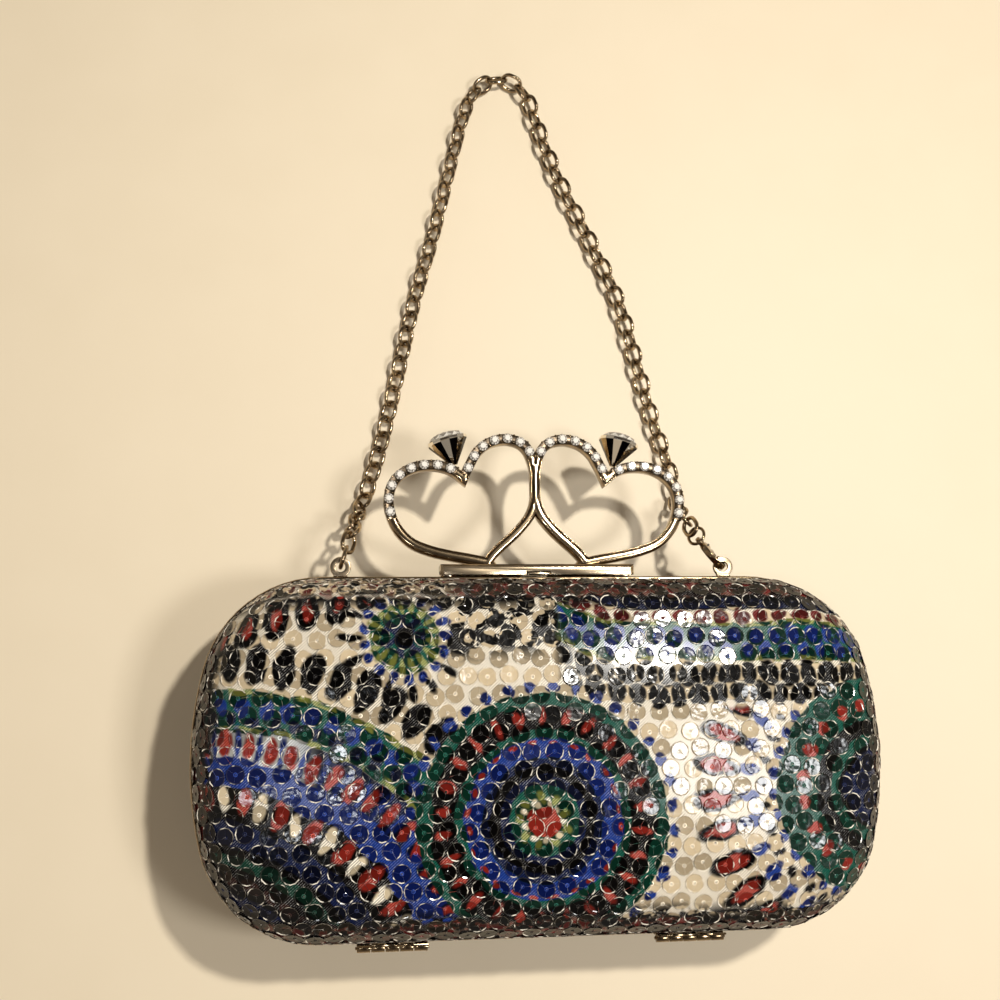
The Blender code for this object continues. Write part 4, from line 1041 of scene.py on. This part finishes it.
def make_clasp_bar():
    """The saddle bar, its bearings, pin and spring, and the catch tongue."""
    eased_piece("saddle_bar", "clasp_bar", "champagne_gold", "finger_clasp", 0.00016, 30, 30)
    for hand in ("left", "right"):
        node = hand + "_clasp_bearing"
        eased_piece(node + "_ear", node, "champagne_gold", "back_half", 0.0001)
    eased_piece("clasp_rod", "clasp_pin", "spring_steel", "back_half", 0.0001)
    eased_piece("catch_plate", "catch_tongue", "champagne_gold", "front_half", 0.00012,
                sharp=30)
    y, z = CLASP_AXIS
    turns, steps = 5, 20
    points = [Vector((-SPRING_HALF_LENGTH, y - SPRING_RADIUS, z + SPRING_LEG))]
    for k in range(turns * steps + 1):
        angle = 2 * pi * k / steps + pi
        points.append(Vector((
            -SPRING_HALF_LENGTH + 2 * SPRING_HALF_LENGTH * k / (turns * steps),
            y + SPRING_RADIUS * cos(angle), z + SPRING_RADIUS * sin(angle))))
    mesh_piece("return_spring", shaped(tube(points, SPRING_WIRE, 8)), "spring_steel",
               "back_half", ["clasp_spring"], 60)


def heart_runs():
    """Centre line of the right heart: foot to notch, and notch to foot."""
    outer, inner = ([Vector((x * HEART_HALF_WIDTH, HEART_BASE_Y + y * HEART_HEIGHT, 0))
                     for x, y in shares] for shares in (OUTER_LOBE, INNER_LOBE))
    return smooth_curve(outer, 10), smooth_curve([outer[-1], *inner, outer[0]], 10)


def band_rings(line, section, closed, side=1):
    """Rings of a section (across, up) along a flat line, mitred at each corner."""
    count = len(line)
    rings = []
    for i, point in enumerate(line):
        if closed:
            before = (point - line[i - 1]).normalized()
            after = (line[(i + 1) % count] - point).normalized()
        else:
            after = (line[min(i + 1, count - 1)] - line[min(i, count - 2)]).normalized()
            before = (line[max(i, 1)] - line[max(i - 1, 0)]).normalized()
        heading = (before + after).normalized()
        out = Vector((-heading.y, heading.x, 0)) / max(heading.dot(after), 0.6)
        ring = [point + out * u + Vector((0, 0, MIDDLE_Z + w)) for u, w in section]
        rings.append([Vector((side * max(p.x, -0.00005), max(p.y, HEART_BASE_Y - 0.0003), p.z))
                      for p in ring])
    return rings


def blunt(value, power):
    """A sine or cosine pushed outwards, which squares off a round section."""
    return copysign(abs(value) ** power, value)


def make_hearts():
    """Both heart bands with their inner rims and feet, and the post between them."""
    outer, inner = heart_runs()
    line = evenly(outer, 110)[:-1] + evenly(inner, 110)[:-1]
    section = [(BAND_HALF_WIDTH * blunt(cos(a), 0.62), BAND_HALF_DEPTH * blunt(sin(a), 0.5))
               for a in steps_round(24, 0.5)]
    rim = [(0.00116 + 0.00016 * cos(a), 0.00216 + 0.0002 * sin(a)) for a in steps_round(10)]
    for side, word in HANDS:
        foot = (Matrix.Translation((side * FOOT_X, HEART_BASE_Y - 0.0002, MIDDLE_Z))
                @ Matrix.Rotation(-pi / 2, 4, "X"))
        bands = [loft(band_rings(line, shape, True, side), closed=True)
                 for shape in (section, rim)]
        mesh_piece(word + "_heart_band", shaped(*bands, turned(HEART_FOOT, 24, foot)),
                   "old_gold", "finger_clasp", [word + "_heart"], 45)
    post = [[Vector((width * blunt(cos(a), 0.7), height,
                     MIDDLE_Z + (0.0019 + 0.30 * width) * blunt(sin(a), 0.7)))
             for a in steps_round(20, 0.5)] for height, width in POST_STATIONS]
    mesh_piece("middle_post", shaped(loft(post)), "old_gold", "finger_clasp", angle=50)


def stone_spots():
    """(place, heading) of every stone on the right heart."""
    outer, inner = heart_runs()
    outer.reverse()
    spots = []
    for run, (gap, count) in zip((outer, inner), STONE_ROWS):
        for k in range(count):
            here = gap + k * STONE_PITCH
            heading = point_along(run, here + 0.0003) - point_along(run, here - 0.0003)
            spots.append((point_along(run, here), heading.normalized()))
    return spots


def brilliant(radius, low, high):
    """A round faceted stone with a table, crown facets and a pointed underside."""
    table = [Vector((u, v, high)) for u, v in circle(radius * 0.56, 8, turn=pi / 8)]
    girdle = [Vector((u, v, low + (high - low) * 0.30)) for u, v in circle(radius, 16)]
    faces = [tuple(range(8))]
    for k in range(8):
        left, middle, right = (8 + (2 * k + step) % 16 for step in (0, 1, 2))
        faces += [(k, left, middle), (k, middle, right), (k, right, (k + 1) % 8)]
    faces += [(24, 8 + (k + 1) % 16, 8 + k) for k in range(16)]
    return table + girdle + [Vector((0, 0, low - radius * 0.45))], faces


def make_rhinestones():
    """Clear stones along both hearts, in cups held by small beads, over dark channels."""
    seat = MIDDLE_Z + BAND_HALF_DEPTH
    stone = shaped(brilliant(bpy.context.scene.clutch_sizes.stone_diameter / 2,
                             STONE_LOW, STONE_HIGH))
    # Painted reflections: the stone's facets are marked light or dark in turn, and the table
    # light.
    store(stone, "shade", "FACE", [1.0 if len(face.vertices) > 3 else
                                   (1.0, 0.25, 0.85, 0.6, 0.1)[k % 5]
                                   for k, face in enumerate(stone.polygons)])
    cup = shaped(turned(STONE_CUP, 16))
    bead = shaped(turned(STONE_BEAD, 8))
    outer, inner = heart_runs()
    outer.reverse()
    for side, word in HANDS:
        places, turns, beads = [], [], []
        for k, (place, heading) in enumerate(stone_spots()):
            places.append(Vector((side * place.x, place.y, seat)))
            turns.append(Matrix.Rotation(0.9 * k, 3, "Z"))
            out = Vector((-heading.y, heading.x, 0))
            for end in (-1, 1) if k in (0, STONE_ROWS[0][1]) else (1,):
                for across in (-BEAD_OFFSET, BEAD_OFFSET):
                    spot = place + heading * (end * STONE_PITCH / 2) + out * across
                    beads.append(Vector((side * max(spot.x, 0.0004), spot.y, seat - 0.0001)))
        mesh_piece(word + "_rhinestones", repeated(places, turns, stone, "clear_crystal"),
                   "clear_crystal", "finger_clasp", [word + "_heart_stones"], smooth=False)
        mesh_piece(word + "_stone_cups", repeated(places, turns, cup, "old_gold"),
                   "old_gold", "finger_clasp", angle=50)
        turns = [Matrix.Identity(3)] * len(beads)
        mesh_piece(word + "_stone_beads", repeated(beads, turns, bead, "old_gold"),
                   "old_gold", "finger_clasp", angle=60)
        strips = []
        section = [(0.00128 * u, BAND_HALF_DEPTH + 0.00004 + w) for u, w in STONE_CHANNEL]
        for run, (gap, count) in zip((outer, inner), STONE_ROWS):
            low, high = gap - 0.0018, gap + (count - 1) * STONE_PITCH + 0.0018
            line = [point_along(run, low + (high - low) * k / 60) for k in range(61)]
            strips.append(loft(band_rings(line, section, False, side)))
        mesh_piece(word + "_stone_channel", shaped(*strips), "dark_bronze", "finger_clasp",
                   angle=40)


def crown_crystal():
    """The faceted crystal of a cone stud."""
    points = [Vector((u, v, height)) for radius, height, steps, turn in CROWN_RINGS
              for u, v in circle(radius, steps, turn=turn)]
    faces = [tuple(range(12))]
    for k in range(12):
        near, far = 12 + k, 12 + (k + 1) % 12
        left, middle, right = (24 + (2 * k + step) % 24 for step in (0, 1, 2))
        faces += [(k, near, far), (k, far, (k + 1) % 12), (near, left, middle),
                  (near, middle, far), (far, middle, right)]
    faces += [(48, 24 + (k + 1) % 24, 24 + k) for k in range(24)]
    return points + [Vector((0, 0, 0.0030))], faces


def make_cone_studs():
    """The faceted cone cups at the notches and the crystals in them."""
    points, faces = crown_crystal()
    for side, word in HANDS:
        place = (Matrix.Translation((side * CONE_X, HEART_BASE_Y + CONE_RISE, MIDDLE_Z))
                 @ Matrix.Rotation(-side * CONE_LEAN, 4, "Z")
                 @ Matrix.Rotation(-pi / 2, 4, "X"))
        inverse = place.inverted()
        cup = shaped(turned(CONE_PROFILE, CONE_FACETS, place, pi / CONE_FACETS))
        # Painted dark reflections: every other facet of the cup, below its lip, is marked dark.
        values = []
        for face in cup.polygons:
            spot = inverse @ face.center
            facet = atan2(spot.y, spot.x) / (2 * pi) * CONE_FACETS
            dark = (facet + 0.5) // 1 % 2
            values.append(0.0 if dark and spot.z < CONE_PROFILE[1][1] else 1.0)
        store(cup, "shade", "FACE", values)
        mesh_piece(word + "_cone", cup, "faceted_gold", "finger_clasp",
                   [word + "_cone_cup"], smooth=False)
        stone = shaped(([place @ p for p in points], faces))
        # Painted reflections: the crystal's facets are marked light or dark in turn.
        store(stone, "shade", "FACE", [(0.9, 0.3, 1.0, 0.6, 0.15)[k % 5]
                                       for k in range(len(stone.polygons))])
        mesh_piece(word + "_crown_crystal", stone, "clear_crystal", "finger_clasp",
                   [word + "_crown_stone"], smooth=False)


# The strap

def make_lugs():
    """The two ears on the top edge."""
    neck = BAR_TOP_Y - EAR_DROP - LUG_HOLE.y
    start = -pi / 2 + asin(EAR_NECK / EAR_RADIUS)
    angles = [start + (2 * pi - 2 * (start + pi / 2)) * k / 40 for k in range(41)]
    outline = [(EAR_RADIUS * cos(a), EAR_RADIUS * sin(a)) for a in angles]
    outline += [(-EAR_NECK, neck), (EAR_NECK, neck)]
    for side, word in HANDS:
        place = Matrix.Translation((side * LUG_HOLE.x, LUG_HOLE.y, LUG_HOLE.z))
        mesh = plate([outline, circle(EAR_HOLE, 28)], EAR_THICKNESS, 0.00022, place)
        mesh_piece(word + "_ear", mesh, "champagne_gold", "back_half", [word + "_lug"], 40)


def link_points(length, width, wire, steps=9):
    """Centre line of an oval link that lies in its XY plane, long along Y."""
    bend = (width - wire) / 2
    straight = (length - width) / 2
    return [Vector((end * bend * cos(pi * k / steps),
                    end * (straight + bend * sin(pi * k / steps)), 0))
            for end in (1, -1) for k in range(steps + 1)]


def make_chain():
    """The chain of oval links, the link in the left lug and the split ring."""
    sizes = bpy.context.scene.clutch_sizes
    line = smooth_curve([Vector(point) for point in CHAIN_ROUTE], 6)
    total = sum((b - a).length for a, b in zip(line, line[1:]))
    count = round((total - CHAIN_SPARE) / sizes.link_pitch)
    places, turns = [], []
    for k in range(count + 1):
        here = CHAIN_START + (total - CHAIN_SPARE) * k / count
        place = point_along(line, here)
        ahead = point_along(line, min(here + 0.002, total))
        heading = (ahead - point_along(line, max(here - 0.002, 0))).normalized()
        # Links on the floor lie a little lower than those in the air
        lower = 0.0002 * min(1, max(0, (0.006 - place.z) / 0.003))
        places.append(place - UP * lower)
        roll = radians(45 if k % 2 else -45) + 0.10 * sin(3.3 * k)
        flat = heading.cross(UP).normalized()
        x = flat * cos(roll) + flat.cross(heading) * sin(roll)
        turns.append(Matrix((x, heading, x.cross(heading))).transposed())
    length, width, wire = sizes.link_length, sizes.link_width, sizes.link_wire
    link = shaped(tube(link_points(length, width, wire), wire / 2, 10, closed=True))
    links = mesh_piece("chain_links", repeated(places, turns, link, "old_gold"), "old_gold",
                       "back_half", ["chain"], 60)
    heading = Vector((sin(END_LINK_ASIDE) * cos(END_LINK_DIP),
                      cos(END_LINK_ASIDE) * cos(END_LINK_DIP), -sin(END_LINK_DIP)))
    across = heading.cross(UP).normalized().cross(heading)
    centre = Vector((-LUG_HOLE.x, LUG_HOLE.y, LUG_HOLE.z)) + heading * END_LINK_REACH
    turn = Matrix((across, heading, across.cross(heading))).transposed()
    points = [centre + turn @ p for p in link_points(length, width, wire, 14)]
    end = mesh_piece("end_link", shaped(tube(points, wire / 2, 12, closed=True)),
                     "old_gold", "back_half", ["left_end_link"], 60)
    tail, along, around, thick = lobster_axes()
    back = -along * cos(RING_LEAN) - around * sin(RING_LEAN)
    middle = tail - along * EYE_REACH + back * RING_RADIUS
    points = [middle + back * u + thick * v for u, v in circle(RING_RADIUS, 40)]
    ring = mesh_piece("split_ring", shaped(tube(points, RING_WIRE, 12, closed=True)),
                      "old_gold", "back_half", ["jump_ring"], 60)
    return links, line, [end, ring]


def lobster_axes():
    """Tail point and axes of the lobster clasp: along, across in its plane, and thickness."""
    along = Vector((sin(LOBSTER_TURN), -cos(LOBSTER_TURN), 0))
    level = UP.cross(along)
    across = UP * cos(LOBSTER_ROLL) + level * sin(LOBSTER_ROLL)
    return LUG_HOLE - along * LOBSTER_REACH, along, across, along.cross(across)


def make_lobster():
    """The hooked body, the thumb lever and its pin."""
    tail, along, across, thick = lobster_axes()
    place = Matrix((along, across, thick)).transposed().to_4x4()
    place.translation = tail

    def drawn(shares):
        points = [Vector((x * LOBSTER_LENGTH, y * LOBSTER_HALF_WIDTH, 0)) for x, y in shares]
        return [(p.x, p.y) for p in smooth_curve(points, 2, closed=True)]

    body = plate([drawn(BODY_SHARES)], 0.0018, 0.00036, place)
    eye = plate([circle(radius, steps, (-EYE_REACH, 0))
                 for radius, steps in ((0.0015, 24), (0.00075, 18))], 0.0012, 0.0003, place)
    lever = plate([drawn(GATE_SHARES)], 0.0010, 0.0002, place)
    spot = place @ Matrix.Translation((0.135 * LOBSTER_LENGTH, -0.290 * LOBSTER_HALF_WIDTH, 0))
    pin = shaped(turned(LEVER_PIN, 12, spot))
    return [mesh_piece("lobster_hook", joined(body, eye), "old_gold", "back_half",
                       ["lobster_body"], 50),
            mesh_piece("thumb_lever", lever, "old_gold", "thumb_gate", ["lobster_gate"], 50),
            mesh_piece("lever_pin", pin, "spring_steel", "back_half", ["lobster_pin"], 50)]


def make_strap():
    """The chain with what hangs on it."""
    links, line, ends = make_chain()
    pieces = ends + make_lobster()


# Camera, floor and light

def make_camera():
    """A camera at the photograph's place."""
    lens = bpy.data.cameras.new("camera")
    lens.sensor_width = 36
    lens.lens = 46.8
    lens.clip_start = 0.005
    item = new_object("camera", lens)
    item.location = (-0.051482, 0.010525, 0.370191)
    item.rotation_euler = (0.16392, -0.11873, -0.01433)
    bpy.context.scene.camera = item


def make_stage():
    """Pale floor, soft lights and an even world."""
    scene = bpy.context.scene
    scene.view_settings.view_transform = "Standard"
    mesh = bpy.data.meshes.new("floor")
    mesh.from_pydata([(x, y, FLOOR_Z) for x, y in ((-2, -2), (2, -2), (2, 2), (-2, 2))], [],
                     [(0, 1, 2, 3)])
    mesh.materials.append(finish("pale_floor"))
    new_object("floor", mesh)
    for name, place, target, size, power, colour in LIGHTS:
        lamp = bpy.data.lights.new(name, "AREA")
        lamp.size = size
        lamp.energy = power
        lamp.color = colour
        item = new_object(name, lamp)
        item.location = place
        heading = Vector(target) - Vector(place)
        item.rotation_euler = heading.to_track_quat("-Z", "Y").to_euler()
    world = bpy.data.worlds.new("studio")
    world.use_nodes = True
    scene.world = world
    back = world.node_tree.nodes["Background"]
    x, y, height = Wire(world.node_tree).node("ShaderNodeTexCoord", output="Generated").parts()
    colour = ((height - 0.35) * 2.2).above().mix((0.34, 0.31, 0.27), (0.055, 0.045, 0.038))
    world.node_tree.links.new(colour.socket, back.inputs["Color"])
    back.inputs["Strength"].default_value = 1.0


# The add-on

def size(name, description, default):
    """A length property."""
    return FloatProperty(name=name, description=description, default=default, unit="LENGTH")


def swatch(name, description, colour):
    """A colour property."""
    return FloatVectorProperty(name=name, description=description, default=colour,
                               subtype="COLOR", min=0.0, max=1.0)


class ClutchSizes(bpy.types.PropertyGroup):
    """Sizes of the trim."""

    sequin_diameter: size("Sequin diameter", "Width of one sequin", 0.0047)
    sequin_spacing: size("Sequin spacing", "Step along a row", 0.00529)
    sequin_row: size("Row spacing", "Step from row to row", 0.00463)
    stone_diameter: size("Stone diameter", "Width of one rhinestone", 0.00264)
    twill_pitch: size("Twill pitch", "Step from rib to rib of satin", 0.00052)
    link_pitch: size("Link pitch", "Step from link to link", 0.00465)
    link_length: size("Link length", "Length of one chain link", 0.0070)
    link_width: size("Link width", "Width of one chain link", 0.0056)
    link_wire: size("Link wire", "Thickness of a link's wire", 0.00115)


class ClutchColours(bpy.types.PropertyGroup):
    """Colours of the clutch and its floor."""

    cream: swatch("Cream", "Ground of the print", (0.86, 0.79, 0.65))
    cream_low: swatch("Cream, darker", "Blotches of the ground", (0.76, 0.67, 0.53))
    black: swatch("Black", "Darkest ink", (0.004, 0.003, 0.003))
    navy: swatch("Navy", "Dark blue ink", (0.005, 0.011, 0.052))
    royal: swatch("Royal", "Blue ink", (0.012, 0.042, 0.250))
    green: swatch("Green", "Green ink", (0.006, 0.088, 0.058))
    bottle: swatch("Bottle green", "Dark green ink", (0.006, 0.045, 0.028))
    olive: swatch("Olive", "Yellow green ink", (0.320, 0.340, 0.110))
    red: swatch("Red", "Red ink", (0.420, 0.060, 0.040))
    wine: swatch("Wine", "Dark red ink", (0.170, 0.018, 0.016))
    brown: swatch("Brown", "Ink of the walls", (0.036, 0.013, 0.010))
    bronze: swatch("Tan", "Lighter ink of the walls", (0.34, 0.26, 0.17))
    white: swatch("White", "Ground of the stripes", (0.62, 0.64, 0.64))
    # Painted highlight colour: rim arcs of the sequins and glints on the threads; also the pale
    # facets of the cone studs.
    glint: swatch("Glint", "Lit ribs and sequin rims", (0.90, 0.83, 0.70))
    film: swatch("Film", "Tint of the sequins", (0.90, 0.86, 0.80))
    pale_gold: swatch("Pale gold", "Rims and hinges", (0.38, 0.28, 0.165))
    champagne: swatch("Champagne gold", "Bar and ears", (0.56, 0.44, 0.30))
    # Colour of the painted dark reflections on the champagne gold.
    champagne_shade: swatch("Champagne shade", "Worn champagne gold", (0.22, 0.17, 0.10))
    old_gold: swatch("Old gold", "Hearts and chain", (0.45, 0.34, 0.21))
    # Colour of the painted dark reflections on the pale and old gold.
    gold_shade: swatch("Gold shade", "Worn gold", (0.075, 0.045, 0.024))
    dark_bronze: swatch("Dark bronze", "Bed of the stones", (0.14, 0.105, 0.07))
    steel: swatch("Steel", "Pins and spring", (0.62, 0.62, 0.63))
    # Colour of the painted dark reflections on the steel.
    steel_shade: swatch("Steel shade", "Worn steel", (0.38, 0.38, 0.40))
    # Colours of the painted reflections on the crystal facets, bright and dark.
    crystal: swatch("Crystal", "Bright facets", (0.98, 0.93, 0.84))
    crystal_dark: swatch("Crystal shade", "Dark facets", (0.10, 0.085, 0.07))
    lining: swatch("Lining", "Lining cloth", (0.010, 0.010, 0.011))
    # Painted highlight colour of the lining's raised threads.
    lining_light: swatch("Lining light", "Raised threads of the lining", (0.034, 0.033, 0.035))
    board: swatch("Board", "Shell under the cloth", (0.26, 0.21, 0.15))
    # Painted highlight colour of the shell's raised grain.
    board_light: swatch("Board light", "Raised grain of the shell", (0.36, 0.30, 0.22))
    floor: swatch("Floor", "Plain floor", (0.80, 0.68, 0.49))
    floor_light: swatch("Floor light", "Lighter parts of the floor", (0.84, 0.72, 0.53))


class PieceOperator:
    """What the operators of all pieces share."""

    bl_options = {"REGISTER", "UNDO"}

    def execute(self, context):
        self.make()
        return {"FINISHED"}


class CLUTCH_OT_camera(PieceOperator, bpy.types.Operator):
    """Place the camera"""

    bl_idname = "clutch.camera"
    bl_label = "Camera"
    make = staticmethod(make_camera)


class CLUTCH_OT_strap(PieceOperator, bpy.types.Operator):
    """Make the chain strap with its lobster clasp"""

    bl_idname = "clutch.strap"
    bl_label = "Chain strap"
    make = staticmethod(make_strap)


class CLUTCH_OT_covers(PieceOperator, bpy.types.Operator):
    """Make the printed covers, shells and linings"""

    bl_idname = "clutch.covers"
    bl_label = "Covers and linings"
    make = staticmethod(make_covers)


class CLUTCH_OT_frames(PieceOperator, bpy.types.Operator):
    """Make the gold rims"""

    bl_idname = "clutch.frames"
    bl_label = "Rims"
    make = staticmethod(make_frames)


class CLUTCH_OT_sequins(PieceOperator, bpy.types.Operator):
    """Sew the sequins on both halves"""

    bl_idname = "clutch.sequins"
    bl_label = "Sequins"
    make = staticmethod(make_sequins)


class CLUTCH_OT_hinges(PieceOperator, bpy.types.Operator):
    """Make the two case hinges"""

    bl_idname = "clutch.hinges"
    bl_label = "Hinges"
    make = staticmethod(make_hinges)


class CLUTCH_OT_clasp_bar(PieceOperator, bpy.types.Operator):
    """Make the saddle bar with its bearings and catch"""

    bl_idname = "clutch.clasp_bar"
    bl_label = "Clasp bar"
    make = staticmethod(make_clasp_bar)


class CLUTCH_OT_hearts(PieceOperator, bpy.types.Operator):
    """Make the two heart bands"""

    bl_idname = "clutch.hearts"
    bl_label = "Heart bands"
    make = staticmethod(make_hearts)


class CLUTCH_OT_rhinestones(PieceOperator, bpy.types.Operator):
    """Set the rhinestones along the hearts"""

    bl_idname = "clutch.rhinestones"
    bl_label = "Rhinestones"
    make = staticmethod(make_rhinestones)


class CLUTCH_OT_cone_studs(PieceOperator, bpy.types.Operator):
    """Make the cone studs with their crystals"""

    bl_idname = "clutch.cone_studs"
    bl_label = "Cone studs"
    make = staticmethod(make_cone_studs)


class CLUTCH_OT_lugs(PieceOperator, bpy.types.Operator):
    """Make the two strap lugs"""

    bl_idname = "clutch.lugs"
    bl_label = "Lugs"
    make = staticmethod(make_lugs)


class CLUTCH_OT_stage(PieceOperator, bpy.types.Operator):
    """Make the floor and the lights"""

    bl_idname = "clutch.stage"
    bl_label = "Stage"
    make = staticmethod(make_stage)


OPERATORS = (CLUTCH_OT_camera, CLUTCH_OT_strap, CLUTCH_OT_covers, CLUTCH_OT_frames,
             CLUTCH_OT_sequins, CLUTCH_OT_hinges, CLUTCH_OT_clasp_bar, CLUTCH_OT_hearts,
             CLUTCH_OT_rhinestones, CLUTCH_OT_cone_studs, CLUTCH_OT_lugs, CLUTCH_OT_stage)


class CLUTCH_PT_panel(bpy.types.Panel):
    """Lists the clutch's sizes, colours and pieces"""

    bl_label = "Clutch"
    bl_idname = "CLUTCH_PT_panel"
    bl_space_type = "VIEW_3D"
    bl_region_type = "UI"
    bl_category = "Clutch"

    def draw(self, context):
        for group in (context.scene.clutch_sizes, context.scene.clutch_colours):
            for name in type(group).__annotations__:
                self.layout.prop(group, name)
        for operator in OPERATORS:
            self.layout.operator(operator.bl_idname)


CLASSES = (ClutchSizes, ClutchColours, *OPERATORS, CLUTCH_PT_panel)


def register():
    """Add the classes and the scene's sizes and colours."""
    for item in CLASSES:
        bpy.utils.register_class(item)
    bpy.types.Scene.clutch_sizes = PointerProperty(type=ClutchSizes)
    bpy.types.Scene.clutch_colours = PointerProperty(type=ClutchColours)


def unregister():
    """Take the classes, sizes and colours away."""
    del bpy.types.Scene.clutch_colours
    del bpy.types.Scene.clutch_sizes
    for item in reversed(CLASSES):
        bpy.utils.unregister_class(item)


def main():
    """Make every piece."""
    register()
    for operator in OPERATORS:
        group, name = operator.bl_idname.split(".")
        getattr(getattr(bpy.ops, group), name)()
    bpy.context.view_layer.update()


if __name__ == "__main__":
    main()
